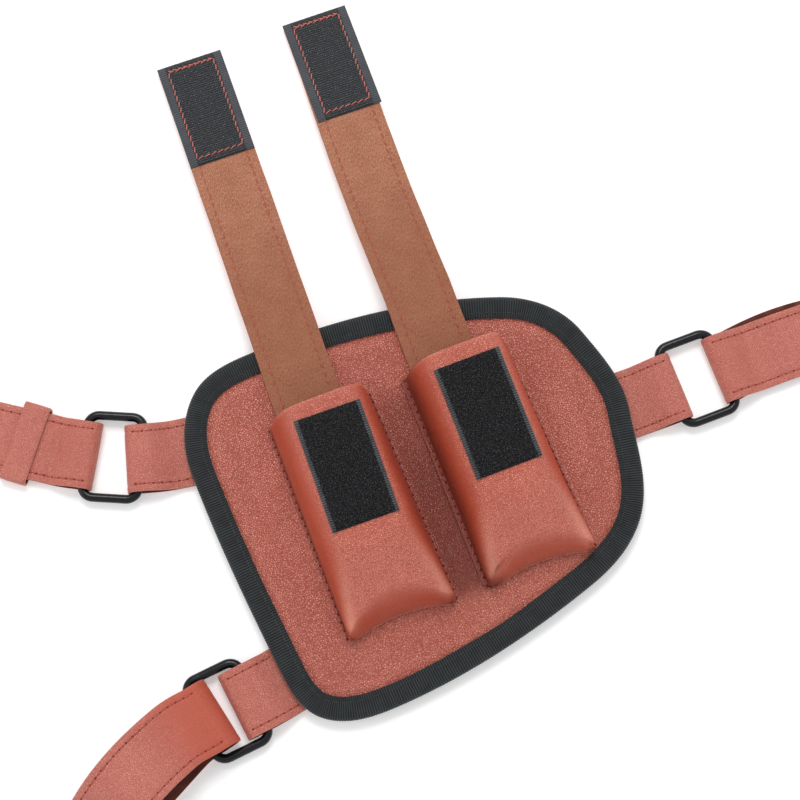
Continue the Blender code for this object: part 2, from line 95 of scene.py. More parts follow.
POUCH_MIDDLE_X = {"left": -27.2 * MM, "right": 27.6 * MM}
POUCH_LEAN = {"left": -1.6 * MM, "right": -2.4 * MM}
POUCH_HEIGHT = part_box("pouch_left_shell")[1].z - ON_PANEL_Z
POUCH_TOE_HEIGHT = 13.5 * MM
POUCH_MOUTH_Y = 42.0 * MM
POUCH_FOOT_Y = -43.3 * MM
POUCH_SLOPE_Y = -6.0 * MM
POUCH_WALL = 1.2 * MM
FOOT_HALF = (19.4 * MM, 20.8 * MM)
CREST_HALF = (14.2 * MM, 19.6 * MM)

TAPE_WIDTH = 25.4 * MM
LOOP_LENGTH = 43.2 * MM
LOOP_MIDDLE_Y = 15.4 * MM
LOOP_TURN = {"left": -1.1, "right": 0.2}
HOOK_LENGTH = 43.2 * MM

FLAP_PLACES = {"left": (-30.6 * MM, -1.5), "right": (22.3 * MM, -1.1)}
FLAP_BOW = {"left": 0.0, "right": -1.05 * MM}  # how far each flap bends aside between its ends
FLAP_FOLD_Y = 82.0 * MM
FLAP_FACE_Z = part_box("flap_left_tail_fabric")[1].z
FLAP_BRIDGE = 22.6 * MM
FLAP_TAIL = 46.0 * MM
FLAP_LENGTH = FLAP_BRIDGE + 88.1 * MM
FLAP_HALF = 12.95 * MM
FLAP_THICK = 1.9 * MM
FLAP_FABRIC = 0.7 * MM
FLAP_DROOP = math.radians(3.8)

WIRE_RADIUS = 1.7 * MM
RING_LENGTH = 21.2 * MM
RING_HEIGHT = 31.2 * MM
RING_CORNER = 4.4 * MM
STRAP_WIDTH = 26.0 * MM
STRAP_END_RADIUS = 5.0 * MM
STRAP_THICK = 1.2 * MM
STRAP_SEAM = 2.75 * MM
FOLD_SHARE = 0.3
STRAP_CLOSING = 12.0 * MM
LOOP_RADIUS = WIRE_RADIUS + 0.6 * MM
BAR_Z = STRAP_THICK + LOOP_RADIUS
TAB_TAIL = 8.0 * MM
LAYER_GAP = 0.3 * MM
KEEPER_THICK = 1.0 * MM
KEEPER_LENGTH = 10.0 * MM
KEEPER_WIDTH = 28.6 * MM
KEEPER_AT = 22.5 * MM
KEEPER_TURN = -4.0

# Each link's bar in mm, headings in degrees, and slacks, lengths and waves in mm. The left link lies a
# few degrees further round than its CAD solids do, and the rest is as in the CAD.
LINKS = {
    "left": {
        "bar": (-97.3, 49.5),
        "headings": (171.5, 155.8, 146.0),
        "slacks": (2.1, 1.5),
        "fold_share": 0.52,
        "lengths": (17.5, 50.0),
    },
    "right": {
        "bar": (98.6, 4.0),
        "headings": (-1.0, 0.0, -0.3),
        "slacks": (0.4, 0.4),
        "lengths": (18.0, 50.0),
        "bow": 1.6,
        "lower_wave": 2.4,
    },
    "lower": {
        "bar": (-88.0, -48.8),
        "headings": (190.5, 185.2, 208.4),
        "slacks": (5.0, 3.2),
        "lengths": (12.5, 78.0),
        "rise": 2.6,
        "bow": 7.0,
        "upper_wave": -2.2,
    },
}


def smoothstep(t):
    t = min(1.0, max(0.0, t))
    return t * t * (3.0 - 2.0 * t)


def mix(a, b, t):
    return a + (b - a) * t


def heading_vector(degrees):
    return Vector((math.cos(math.radians(degrees)), math.sin(math.radians(degrees)), 0.0))


def wobble(point, size, seed=0.0):
    """Smooth noise from -1 to 1 whose features are about size metres across."""
    return noise.noise(point / size + Vector((seed, seed * 1.7, seed * 0.3)))


# ---------------------------------------------------------------- materials


class Finish:
    """A procedural material, built node by node."""

    def __init__(self, name):
        self.material = bpy.data.materials.new(name)
        self.material.use_nodes = True
        self.tree = self.material.node_tree
        self.shader = self.tree.nodes["Principled BSDF"]
        self.coordinates = self.tree.nodes.new("ShaderNodeTexCoord")

    def add(self, kind, inputs=None, output=0, **settings):
        made = self.tree.nodes.new("ShaderNode" + kind)
        for key, value in settings.items():
            setattr(made, key, value)
        self.fill(made, inputs or {})
        return made.outputs[output]

    def fill(self, node, inputs):
        for key, value in inputs.items():
            if isinstance(value, bpy.types.NodeSocket):
                self.tree.links.new(value, node.inputs[key])
            else:
                node.inputs[key].default_value = value

    def place(self, kind="Object"):
        return self.coordinates.outputs[kind]

    def math(self, operation, *values):
        return self.add("Math", dict(enumerate(values)), operation=operation)

    def span(self, value, low, high, to_low=0.0, to_high=1.0):
        """Value eased from low..high to to_low..to_high."""
        inputs = {"Value": value, "From Min": low, "From Max": high, "To Min": to_low, "To Max": to_high}
        return self.add("MapRange", inputs, interpolation_type="SMOOTHSTEP")

    def noise(self, vector, scale, detail=2.0, roughness=0.5, output=0):
        inputs = {"Vector": vector, "Scale": scale, "Detail": detail, "Roughness": roughness}
        return self.add("TexNoise", inputs, output)

    def stretch(self, vector, scale):
        return self.add("Mapping", {"Vector": vector, "Scale": scale})

    def blend(self, factor, a, b):
        return self.add("Mix", {0: factor, 6: a, 7: b}, 2, data_type="RGBA")

    def bump(self, height, distance, strength=1.0, under=None):
        inputs = {"Height": height, "Distance": distance, "Strength": strength}
        if under is not None:
            inputs["Normal"] = under
        return self.add("Bump", inputs)

    def attribute(self, name):
        return self.add("Attribute", output=2, attribute_name=name)

    def split(self, vector):
        made = self.tree.nodes.new("ShaderNodeSeparateXYZ")
        self.tree.links.new(vector, made.inputs[0])
        return made.outputs

    def done(self, **inputs):
        self.fill(self.shader, {key.replace("_", " "): value for key, value in inputs.items()})
        return self.material


def colour(red, green, blue):
    """A linear colour from the 0-255 numbers of its screen colour."""

    def linear(c):
        c /= 255.0
        return c / 12.92 if c <= 0.04045 else ((c + 0.055) / 1.055) ** 2.4

    return (linear(red), linear(green), linear(blue), 1.0)


def leather_finish(name, light, dark, on="Object", grain=1.0, scale=1300.0):
    """Pebbled coated leather: small glossy pebbles between dark fine grooves, over an uneven dye; the
    pebbles' tops are painted paler as a highlight and the grooves painted dark as shade.
    Where the leather is drawn tight over a wall or near a fold, the grain is stretched smooth and the
    colour is painted deeper and darker as shade; places marked as rubbed are paler, partly real wear and
    partly a painted highlight, and places marked as shaded are painted darker as shade."""
    f = Finish(name)
    at = f.place(on)
    taut_and_shaded = f.attribute("taut_and_shaded")
    slack = f.span(taut_and_shaded, 0.0, 1.0, grain, 0.12 * grain)
    drift = f.noise(at, 900.0, 1.0, output=1)
    warped = f.add("VectorMath", {0: drift, 1: (0.0007, 0.0007, 0.0007), 2: at}, operation="MULTIPLY_ADD")
    cells = {"Vector": warped, "Scale": scale, "Randomness": 0.85}
    edge = f.add("TexVoronoi", cells, feature="DISTANCE_TO_EDGE")
    pebble = f.span(edge, 0.0, 0.22)
    fine = f.noise(at, 2900.0, 2.0, 0.65)
    broad = f.noise(at, 55.0, 3.0)
    patch = f.noise(at, 420.0, 2.0)
    height = f.math("MULTIPLY", f.math("MULTIPLY_ADD", fine, 0.5, pebble), slack)
    soft = f.math("MULTIPLY_ADD", patch, 0.6, f.math("MULTIPLY", broad, 1.6))
    under = f.bump(soft, 0.0008, 0.4)
    normal = f.bump(height, 0.0006, 0.55, under)
    tone = f.math("MULTIPLY_ADD", f.span(broad, 0.3, 0.7), 0.16, f.math("MULTIPLY", patch, 0.2))
    dyed = f.blend(f.math("MULTIPLY_ADD", f.span(fine, 0.35, 0.65), 0.64 * grain, tone), dark, light)
    # Painted highlight: the pebbles' tops are lightened towards a paler, whiter colour, standing in for
    # glints on them.
    pale = (mix(light[0], 1.0, 0.15), mix(light[1], 1.0, 0.3), mix(light[2], 1.0, 0.32), 1.0)
    tops = f.math("MULTIPLY", f.span(edge, 0.14, 0.4, 0.0, 0.5), slack)
    topped = f.blend(f.math("MULTIPLY", tops, f.span(fine, 0.36, 0.64)), dyed, pale)
    # Painted shade: the fine grooves between the pebbles are darkened.
    groove = (0.5 * dark[0], 0.32 * dark[1], 0.28 * dark[2], 1.0)
    grooved = f.blend(f.math("MULTIPLY", f.span(edge, 0.0, 0.13, 0.85, 0.0), slack), topped, groove)
    # Painted shade: leather marked as drawn tight, on walls that face aside and near folds, is painted a
    # deeper, darker red.
    taut_shade = f.blend(f.math("MULTIPLY", taut_and_shaded, 0.85), grooved, colour(166, 62, 38))
    # Paler where marked: real wear at a pouch's mouth, and a painted highlight at its toe corners and
    # ridges.
    rubbed = f.blend(f.math("MULTIPLY", f.attribute("wear_and_highlight"), 0.6), taut_shade, colour(232, 158, 134))
    # Painted shade: darker where marked as shaded, between the pouches and at their feet.
    shaded = f.blend(f.math("MULTIPLY", f.attribute("painted_shade"), 0.75), rubbed, colour(100, 32, 18))
    rough = f.math("MULTIPLY_ADD", fine, 0.2, f.span(broad, 0.2, 0.8, 0.26, 0.36))
    gloss = f.span(taut_and_shaded, 0.0, 1.0, 0.6, 0.25)
    return f.done(Base_Color=shaded, Roughness=rough, Normal=normal, Specular_IOR_Level=gloss)


def suede_finish(name, light, dark, nap=1.0):
    """The napped back of the leather: short fibres lying in drifting patches."""
    f = Finish(name)
    at = f.place()
    fibre = f.noise(f.stretch(at, (1.0, 0.35, 1.0)), 5200.0, 3.0, 0.7)
    nap_patch = f.noise(at, 260.0, 3.0)
    height = f.math("MULTIPLY_ADD", nap_patch, 0.5, fibre)
    tone = f.math("MULTIPLY_ADD", f.span(nap_patch, 0.3, 0.7), 0.5, f.math("MULTIPLY", fibre, 0.5))
    return f.done(
        Base_Color=f.blend(tone, dark, light),
        Roughness=f.span(fibre, 0.2, 0.8, 0.82, 0.98),
        Normal=f.bump(height, 0.00018 * nap, 0.7),
        Sheen_Weight=0.35 * nap,
        Sheen_Roughness=0.5,
        Sheen_Tint=light,
        Specular_IOR_Level=0.2,
    )


def flap_fabric_finish(name):
    """Brushed twill: fine slanting ribs under a short nap, over a slightly uneven brown, with painted shade
    darkening it along the tail, where it runs into the pouch.
    """
    f = Finish(name)
    at = f.place("UV")
    x, y, _ = f.split(at)
    slant = f.math("MULTIPLY_ADD", y, 1.6, x)
    ribs = f.math("SINE", f.math("MULTIPLY", slant, 2 * math.pi / 0.00075))
    cross = f.math("SINE", f.math("MULTIPLY", y, 2 * math.pi / 0.00055))
    weave = f.math("MULTIPLY_ADD", cross, 0.35, ribs)
    fibre = f.noise(f.stretch(at, (1.0, 0.4, 1.0)), 2600.0, 3.0, 0.7)
    patch = f.noise(at, 130.0, 3.0)
    tone = f.math("MULTIPLY_ADD", fibre, 0.85, f.math("MULTIPLY", patch, 0.15))
    base = f.blend(f.span(tone, 0.32, 0.68), colour(136, 82, 58), colour(192, 136, 110))
    # Painted shade: darkest along the tail, fading out over the first 55 mm past the first fold.
    shaded_near_pouch = f.blend(f.span(y, 0.0, 0.055, 0.42, 0.0), base, colour(128, 74, 50))
    lined = f.blend(f.span(weave, -1.0, 1.2, 0.22, 0.0), shaded_near_pouch, colour(112, 62, 42))
    height = f.math("MULTIPLY_ADD", weave, 0.22, fibre)
    return f.done(
        Base_Color=lined,
        Roughness=f.span(fibre, 0.2, 0.8, 0.8, 0.97),
        Normal=f.bump(height, 0.00014, 0.7, f.bump(patch, 0.0006, 0.3)),
        Sheen_Weight=0.3,
        Sheen_Roughness=0.45,
        Sheen_Tint=colour(214, 160, 132),
        Specular_IOR_Level=0.2,
    )


def ribbed_tape_finish(name, light, dark, pitch, crosswise=True):
    """Woven tape with a rib every pitch metres along it, painted lighter on the ribs and darker in the
    grooves between them as light and shade, and a dull thread sheen.
    """
    f = Finish(name)
    at = f.place("UV")
    x, y, _ = f.split(at)
    along, across = (x, y) if crosswise else (y, x)
    rib = f.math("COSINE", f.math("MULTIPLY", along, 2 * math.pi / pitch))
    threads = f.math("SINE", f.math("MULTIPLY", across, 2 * math.pi / 0.0004))
    fuzz = f.noise(at, 3800.0, 3.0, 0.7)
    patch = f.noise(at, 210.0, 2.0)
    height = f.math("MULTIPLY_ADD", threads, 0.18, f.math("MULTIPLY_ADD", fuzz, 0.7, rib))
    # Painted light and shade: lighter on each rib, darker in the groove between ribs.
    tone = f.math("MULTIPLY_ADD", f.span(rib, -0.6, 1.0), 0.62, f.math("MULTIPLY", fuzz, 0.34))
    base = f.blend(tone, dark, light)
    varied = f.blend(f.span(patch, 0.35, 0.7, 0.0, 0.3), base, dark)
    return f.done(
        Base_Color=varied,
        Roughness=f.span(fuzz, 0.2, 0.8, 0.62, 0.9),
        Normal=f.bump(height, 0.00007, 0.6),
        Sheen_Weight=0.2,
        Sheen_Roughness=0.4,
        Specular_IOR_Level=0.3,
    )


def pile_finish(name, light, dark, scale, gloss=0.35):
    """Nylon hooks or loops: glints of lighter fibre over a dark ground."""
    f = Finish(name)
    at = f.place("UV")
    speck = f.noise(at, scale, 2.0, 0.75)
    patch = f.noise(at, 300.0, 2.0)
    tone = f.math("MULTIPLY_ADD", patch, 0.1, f.span(speck, 0.52, 0.66, 0.0, 0.9))
    return f.done(
        Base_Color=f.blend(tone, dark, light),
        Roughness=f.span(speck, 0.3, 0.7, 0.5, 0.85),
        Normal=f.bump(speck, 0.0002, 0.6),
        Sheen_Weight=0.4 * gloss,
        Specular_IOR_Level=gloss,
    )


def thread_finish(name, light, dark):
    """Twisted sewing thread: two plies that wind round it."""
    f = Finish(name)
    at = f.place("UV")
    x, y, _ = f.split(at)
    wound = f.math("MULTIPLY_ADD", x, 2 * math.pi / 0.0009, f.math("MULTIPLY", y, 4 * math.pi))
    twist = f.math("SINE", wound)
    fuzz = f.noise(f.place("Object"), 3000.0, 2.0)
    tone = f.math("MULTIPLY_ADD", twist, 0.3, f.math("MULTIPLY_ADD", fuzz, 0.6, 0.15))
    return f.done(
        Base_Color=f.blend(tone, dark, light),
        Roughness=f.span(fuzz, 0.3, 0.7, 0.45, 0.7),
        Normal=f.bump(twist, 0.00008, 0.7),
        Sheen_Weight=0.2,
    )


def cut_edge_finish(name):
    """The raw cut edge of coated leather: a pale, fibrous line."""
    f = Finish(name)
    at = f.place()
    fibre = f.noise(f.stretch(at, (1.0, 1.0, 3.0)), 3600.0, 3.0, 0.7)
    base = f.blend(fibre, colour(160, 84, 66), colour(222, 164, 146))
    return f.done(Base_Color=base, Roughness=0.85, Normal=f.bump(fibre, 0.00015, 0.6))


def steel_finish(name):
    """Satin black coating on wire, with a faint orange-peel and a few dull rubbed places."""
    f = Finish(name)
    at = f.place()
    peel = f.noise(at, 1400.0, 2.0)
    worn = f.span(f.noise(at, 160.0, 4.0, 0.6), 0.58, 0.74)
    base = f.blend(worn, colour(14, 15, 19), colour(44, 46, 54))
    return f.done(
        Base_Color=base,
        Metallic=f.span(worn, 0.0, 1.0, 0.0, 0.5),
        Roughness=f.span(peel, 0.3, 0.7, 0.18, 0.28),
        Normal=f.bump(peel, 0.00004, 0.35),
        Specular_IOR_Level=0.28,
    )


def foam_finish(name):
    """Open-cell foam."""
    f = Finish(name)
    at = f.place()
    cells = f.add("TexVoronoi", {"Vector": at, "Scale": 1100.0})
    base = f.blend(f.span(cells, 0.1, 0.6), colour(34, 34, 36), colour(78, 78, 82))
    return f.done(Base_Color=base, Roughness=0.95, Normal=f.bump(cells, 0.0003, 0.8))


def floor_finish(name):
    """Matte white paper with the faintest tooth, lit a little from below as on a light table."""
    f = Finish(name)
    tooth = f.noise(f.place(), 900.0, 3.0)
    base = f.blend(tooth, (0.86, 0.86, 0.86, 1.0), (0.9, 0.9, 0.9, 1.0))
    return f.done(
        Base_Color=base,
        Roughness=0.9,
        Normal=f.bump(tooth, 0.0001, 0.15),
        Specular_IOR_Level=0.1,
        Emission_Color=(1.0, 1.0, 1.0, 1.0),
        Emission_Strength=0.22,
    )


LEATHER = leather_finish("leather", colour(212, 123, 103), colour(165, 71, 51))
# The pouches' leather is the panel's with a finer grain and a paler colour; the paleness is painted light,
# for the light their fronts catch.
POUCH_LEATHER = leather_finish(
    "pouch_leather", colour(222, 126, 104), colour(180, 78, 56), grain=0.85, scale=1450.0
)
# The straps' leather is the panel's with a smoother grain and a paler colour; the paleness is painted
# light, for the light they catch.
STRAP_LEATHER = leather_finish(
    "strap_leather", colour(216, 131, 114), colour(180, 92, 75), grain=0.62, scale=1500.0
)
FLAP_LEATHER = leather_finish("flap_leather", colour(240, 138, 116), colour(186, 84, 60), "UV")
SUEDE = suede_finish("strap_back", colour(112, 62, 52), colour(66, 32, 26))
LINING = suede_finish("lining", colour(104, 60, 46), colour(66, 36, 28), nap=0.8)
FLAP_FABRIC_FINISH = flap_fabric_finish("flap_fabric")
BINDING_FINISH = ribbed_tape_finish("binding_tape", colour(61, 66, 69), colour(4, 5, 6), RIB)
SELVAGE_FINISH = ribbed_tape_finish("tape_selvage", colour(90, 94, 99), colour(44, 48, 52), 0.0009)
LOOP_SELVAGE = ribbed_tape_finish("loop_selvage", colour(92, 97, 101), colour(18, 20, 22), 0.0009)
HOOK_GROUND = pile_finish("hook_ground", colour(70, 74, 80), colour(18, 19, 22), 2600.0)
HOOK_FINISH = pile_finish("hooks", colour(186, 191, 198), colour(60, 64, 70), 2600.0)
LOOP_FINISH = pile_finish("loops", colour(84, 82, 86), colour(0, 0, 0), 2200.0, 0.12)
RED_THREAD = thread_finish("red_thread", colour(206, 94, 70), colour(120, 38, 24))
PINK_THREAD = thread_finish("pink_thread", colour(222, 134, 122), colour(156, 62, 52))
DARK_THREAD = thread_finish("dark_thread", colour(176, 78, 60), colour(108, 34, 22))
STRAP_THREAD = thread_finish("strap_thread", colour(196, 92, 74), colour(134, 50, 36))
BLACK_THREAD = thread_finish("black_thread", colour(30, 31, 33), colour(8, 8, 9))
# Painted shade: the needle holes are coloured dark for the shade inside them.
NEEDLE_HOLE = suede_finish("needle_hole", colour(120, 44, 32), colour(76, 22, 15))
STRAP_HOLE = suede_finish("strap_hole", colour(150, 58, 44), colour(110, 36, 26))
CUT_EDGE = cut_edge_finish("cut_edge")
STEEL = steel_finish("black_steel")
FOAM = foam_finish("foam")


# ---------------------------------------------------------------- shapes


def face_outwards(mesh):
    """Turns every face of a closed mesh outwards."""
    work = bmesh.new()
    work.from_mesh(mesh)
    bmesh.ops.recalc_face_normals(work, faces=work.faces)
    work.to_mesh(mesh)
    work.free()


def shown(obj):
    """Puts a new object in the scene."""
    bpy.context.scene.collection.objects.link(obj)
    return obj


class Shape:
    """Points, faces, surface coordinates and finish numbers, gathered bit by bit for one piece."""

    def __init__(self):
        self.points = []
        self.faces = []
        self.uvs = []
        self.marks = []

    def face(self, corners, uvs, mark=0):
        self.faces.append(tuple(corners))
        self.uvs.extend(uvs)
        self.marks.append(mark)

    def loft(self, rows, us, vs, tube=False, ring=False, mark=None, caps=False):
        """Joins rows of points. tube closes each row on itself and ring joins the last row to the
        first. us and vs are the distances along the rows and across them."""
        start = len(self.points)
        count = len(rows[0])
        self.points += [p for row in rows for p in row]
        for j in range(len(rows) if ring else len(rows) - 1):
            for i in range(count if tube else count - 1):
                a = start + j * count
                b = start + (j + 1) % len(rows) * count
                n = (i + 1) % count
                uvs = [(us[j], vs[i]), (us[j], vs[i + 1]), (us[j + 1], vs[i + 1]), (us[j + 1], vs[i])]
                self.face((a + i, a + n, b + n, b + i), uvs, mark(j, i) if mark else 0)
        if caps:
            for j in (0, len(rows) - 1):
                corners = [start + j * count + i for i in range(count)]
                if j == 0:
                    corners.reverse()
                self.face(corners, [(us[j], vs[0])] * count, mark(min(j, len(rows) - 2), 0) if mark else 0)

    def close_with_hubs(self, rows):
        """Closes the first and last of the rows lofted so far with a fan of faces round a middle point."""
        count = len(rows[0])
        for start, row in ((0, rows[0]), ((len(rows) - 1) * count, rows[-1])):
            self.points.append(sum(row, Vector()) / count)
            hub = len(self.points) - 1
            for i in range(count):
                self.face((start + i, start + (i + 1) % count, hub), [(0.0, 0.0)] * 3)

    def piece(
        self, name, body, slot, finishes, smooth_angle=None, outwards=True, place=None, stands_for=()
    ):
        """Makes the mesh and puts it on its body when the body is one name; given anything else, such as
        two bodies and the ends of a joint between them, it leaves the piece in place.
        """
        mesh = bpy.data.meshes.new(name)
        mesh.from_pydata([tuple(p) for p in self.points], [], self.faces)
        for finish in finishes:
            mesh.materials.append(finish)
        mesh.polygons.foreach_set("material_index", self.marks)
        layer = mesh.uv_layers.new(name="UVMap")
        layer.uv.foreach_set("vector", [c for uv in self.uvs for c in uv])
        if outwards:
            face_outwards(mesh)
        mesh.shade_smooth()
        if smooth_angle:
            mesh.set_sharp_from_angle(angle=math.radians(smooth_angle))
        if place is not None:
            mesh.transform(place)
        obj = shown(bpy.data.objects.new(name, mesh))
        if isinstance(body, str):
            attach(obj, body)
        else:
            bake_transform(obj)
        for node in stands_for:
            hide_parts(node)
        return obj


def mirror_shares(shares):
    """Shares of a width from one edge to its middle, then on to the other edge."""
    return list(shares) + [1.0 - s for s in reversed(shares[:-1])]


def running(points):
    """The distance along a line of points, at each of them."""
    total = [0.0]
    for a, b in zip(points, points[1:]):
        total.append(total[-1] + (b - a).length)
    return total


class Line:
    """A line on a surface that can be read at any distance: its place, heading and normal."""

    def __init__(self, points, normals):
        self.points = points
        self.normals = normals
        self.at = running(points)
        self.length = self.at[-1]

    def read(self, distance):
        distance = min(max(distance, 0.0), self.length)
        k = 0
        low, high = 0, len(self.at) - 2
        while low <= high:
            k = (low + high) // 2
            if self.at[k + 1] < distance:
                low = k + 1
            elif self.at[k] > distance:
                high = k - 1
            else:
                break
        span = max(self.at[k + 1] - self.at[k], 1e-9)
        t = (distance - self.at[k]) / span
        place = self.points[k].lerp(self.points[k + 1], t)
        normal = self.normals[k].lerp(self.normals[k + 1], t).normalized()
        return place, (self.points[k + 1] - self.points[k]).normalized(), normal


# A stitch's height above its line, in thread radii, at shares of its length.
STITCH_PROFILE = (
    (0.0, -1.7), (0.07, -0.3), (0.22, 0.55), (0.5, 0.8), (0.78, 0.55), (0.93, -0.3), (1.0, -1.7)
)
STITCH_SIDES = 6
STITCH_PITCH = 3.2 * MM
FLAP_PITCH = 3.3 * MM


def sew(shape, line, radius, share, seed, pitch=STITCH_PITCH, slant=0.0):
    """A row of stitches along a line. Each is a loop of thread, over its share of the pitch, that dips
    into the surface at its ends."""
    picked = random.Random(seed)
    count = max(1, round(line.length / pitch))
    pitch = line.length / count
    for k in range(count):
        first = k * pitch + (1.0 - share) * pitch / 2
        length = share * pitch
        swing = slant + picked.uniform(-0.11, 0.11)
        rows = []
        for t, lift in STITCH_PROFILE:
            place, heading, normal = line.read(first + t * length)
            side = normal.cross(heading).normalized()
            centre = place + normal * (lift * radius) + side * (swing * (t - 0.5) * length)
            ring = []
            for i in range(STITCH_SIDES):
                angle = 2 * math.pi * i / STITCH_SIDES
                ring.append(centre + (side * math.cos(angle) + normal * math.sin(angle) * 0.8) * radius)
            rows.append(ring)
        us = [first + t * length for t, _ in STITCH_PROFILE]
        shape.loft(rows, us, [i / STITCH_SIDES for i in range(STITCH_SIDES + 1)], tube=True, caps=True)


def pierce(shape, line, size, pitch=STITCH_PITCH):
    """The needle holes between the stitches of a row: small dimples painted dark for the shade inside each
    hole, each a thin closed lens.
    """
    count = max(1, round(line.length / pitch))
    pitch = line.length / count
    sides = 8
    for k in range(count + 1):
        place, heading, normal = line.read(k * pitch)
        side = normal.cross(heading).normalized()
        rows = []
        for reach, lift in ((0.35, -0.12), (1.0, -0.02), (0.8, 0.06), (0.25, 0.09)):
            ring = []
            for i in range(sides):
                angle = 2 * math.pi * i / sides
                spread = heading * (math.cos(angle) * 1.25) + side * math.sin(angle)
                ring.append(place + spread * (reach * size) + normal * (lift * MM))
            rows.append(ring)
        us = [k * pitch + d * size for d in range(4)]
        shape.loft(rows, us, [i / sides for i in range(sides + 1)], tube=True, caps=True)


# ---------------------------------------------------------------- panel


def outline(per_span):
    """The panel's outer edge, anticlockwise. Each span between anchors is nearly a circular arc."""
    loop = []
    count = len(OUTLINE_ANCHORS)
    for i in range(count):
        x0, y0, h0 = OUTLINE_ANCHORS[i]
        x1, y1, h1 = OUTLINE_ANCHORS[(i + 1) % count]
        start = Vector((x0, y0, 0.0)) * MM
        end = Vector((x1, y1, 0.0)) * MM
        swing = math.radians((h1 - h0) % 360.0)
        reach = (end - start).length / (3.0 * math.cos(swing / 4.0) ** 2)
        out = start + heading_vector(h0) * reach
        back = end - heading_vector(h1) * reach
        for k in range(per_span):
            t = k / per_span
            s = 1.0 - t
            loop.append(start * s**3 + out * (3 * s * s * t) + back * (3 * s * t * t) + end * t**3)
    return loop


def even_loop(loop, count):
    """A closed loop of count points an equal distance apart."""
    closed = loop + [loop[0]]
    at = running(closed)
    made = []
    k = 0
    for i in range(count):
        distance = at[-1] * i / count
        while at[k + 1] < distance:
            k += 1
        t = (distance - at[k]) / (at[k + 1] - at[k])
        made.append(closed[k].lerp(closed[k + 1], t))
    return made, at[-1]


def inward_vectors(loop):
    """The unit vector into the panel at each point of a closed loop."""
    count = len(loop)
    vectors = []
    for i in range(count):
        along = (loop[(i + 1) % count] - loop[i - 1]).normalized()
        vectors.append(Vector((-along.y, along.x, 0.0)))
    return vectors


def resting_parts():
    """The rectangles on the panel's face where a pouch or a flap rests: (x low, x high, y low, y high)."""
    boxes = []
    for side in ("left", "right"):
        low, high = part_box(f"pouch_{side}_shell")
        boxes.append((low.x, high.x, low.y, high.y))
        low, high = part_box(f"flap_{side}_tail_fabric")
        boxes.append((low.x, high.x, low.y, high.y))
    return boxes


RESTING = resting_parts()


def clearance(point):
    """How far a point of the panel's face is from the nearest thing resting on it."""
    nearest = 1.0
    for x0, x1, y0, y1 in RESTING:
        dx = max(x0 - point.x, 0.0, point.x - x1)
        dy = max(y0 - point.y, 0.0, point.y - y1)
        nearest = min(nearest, math.hypot(dx, dy))
    return nearest


PAD_MIDDLE = Vector((0.0, 2.0, 0.0)) * MM
INFLATE_FRAMES = 20


def pad_start(loop, inward):
    """The foam before it is inflated: a closed slab inside the binding, as a new object."""
    steps = ((19.0, 1.3), (11.5, 2.4), (9.6, 4.3), (10.6, 5.6), (14.0, 5.9))
    shape = Shape()
    rows = []
    for distance, z in steps:
        rows.append([p + n * distance * MM + UP * z * MM for p, n in zip(loop, inward)])
    for share, z in ((0.3, 5.9), (0.65, 5.9)):
        rows.append([rows[4][i].lerp(PAD_MIDDLE, share) for i in range(len(loop))])
        for p in rows[-1]:
            p.z = z * MM
    count = len(loop)
    shape.points = [p for row in rows for p in row]
    for j in range(len(rows) - 1):
        for i in range(count):
            n = (i + 1) % count
            shape.face((j * count + i, j * count + n, (j + 1) * count + n, (j + 1) * count + i), [])
    last = (len(rows) - 1) * count
    shape.face(range(last, last + count), [])
    shape.face(range(count - 1, -1, -1), [])
    mesh = bpy.data.meshes.new("pad_start")
    mesh.from_pydata([tuple(p) for p in shape.points], [], shape.faces)
    return shown(bpy.data.objects.new("panel_padding", mesh))


def applied(obj):
    """Replaces obj's mesh by what its modifiers make of it, and removes them."""
    graph = bpy.context.evaluated_depsgraph_get()
    made = bpy.data.meshes.new_from_object(obj.evaluated_get(graph))
    obj.modifiers.clear()
    obj.data = made
    return made


def inflate(obj, edge_tree):
    """Swells the foam a little with a cloth simulation held at the rim, and caps how far it moves."""
    rest = [v.co.copy() for v in obj.data.vertices]
    pins = obj.vertex_groups.new(name="pins")
    for v in obj.data.vertices:
        _, _, _, distance = edge_tree.find_nearest(Vector((v.co.x, v.co.y, 0.0)))
        weight = 1.0 - smoothstep((distance - 9.0 * MM) / (6.0 * MM))
        pins.add([v.index], max(weight, 0.6 if v.co.z < 2.2 * MM else 0.0), "REPLACE")
    cloth = obj.modifiers.new("cloth", "CLOTH")
    cloth.settings.quality = 5
    cloth.settings.mass = 0.2
    cloth.settings.tension_stiffness = 12.0
    cloth.settings.compression_stiffness = 12.0
    cloth.settings.bending_stiffness = 0.6
    cloth.settings.use_pressure = True
    cloth.settings.uniform_pressure_force = 4.0
    cloth.settings.effector_weights.gravity = 0.0
    cloth.settings.vertex_group_mass = "pins"
    scene = bpy.context.scene
    for frame_number in range(1, INFLATE_FRAMES + 1):
        scene.frame_set(frame_number)
    applied(obj)
    scene.frame_set(1)
    cap = 2.2 * MM
    for v, start in zip(obj.data.vertices, rest):
        moved = v.co - start
        if moved.length > cap:
            v.co = start + moved * (cap / moved.length)
        v.co.z = max(v.co.z, 1.15 * MM)


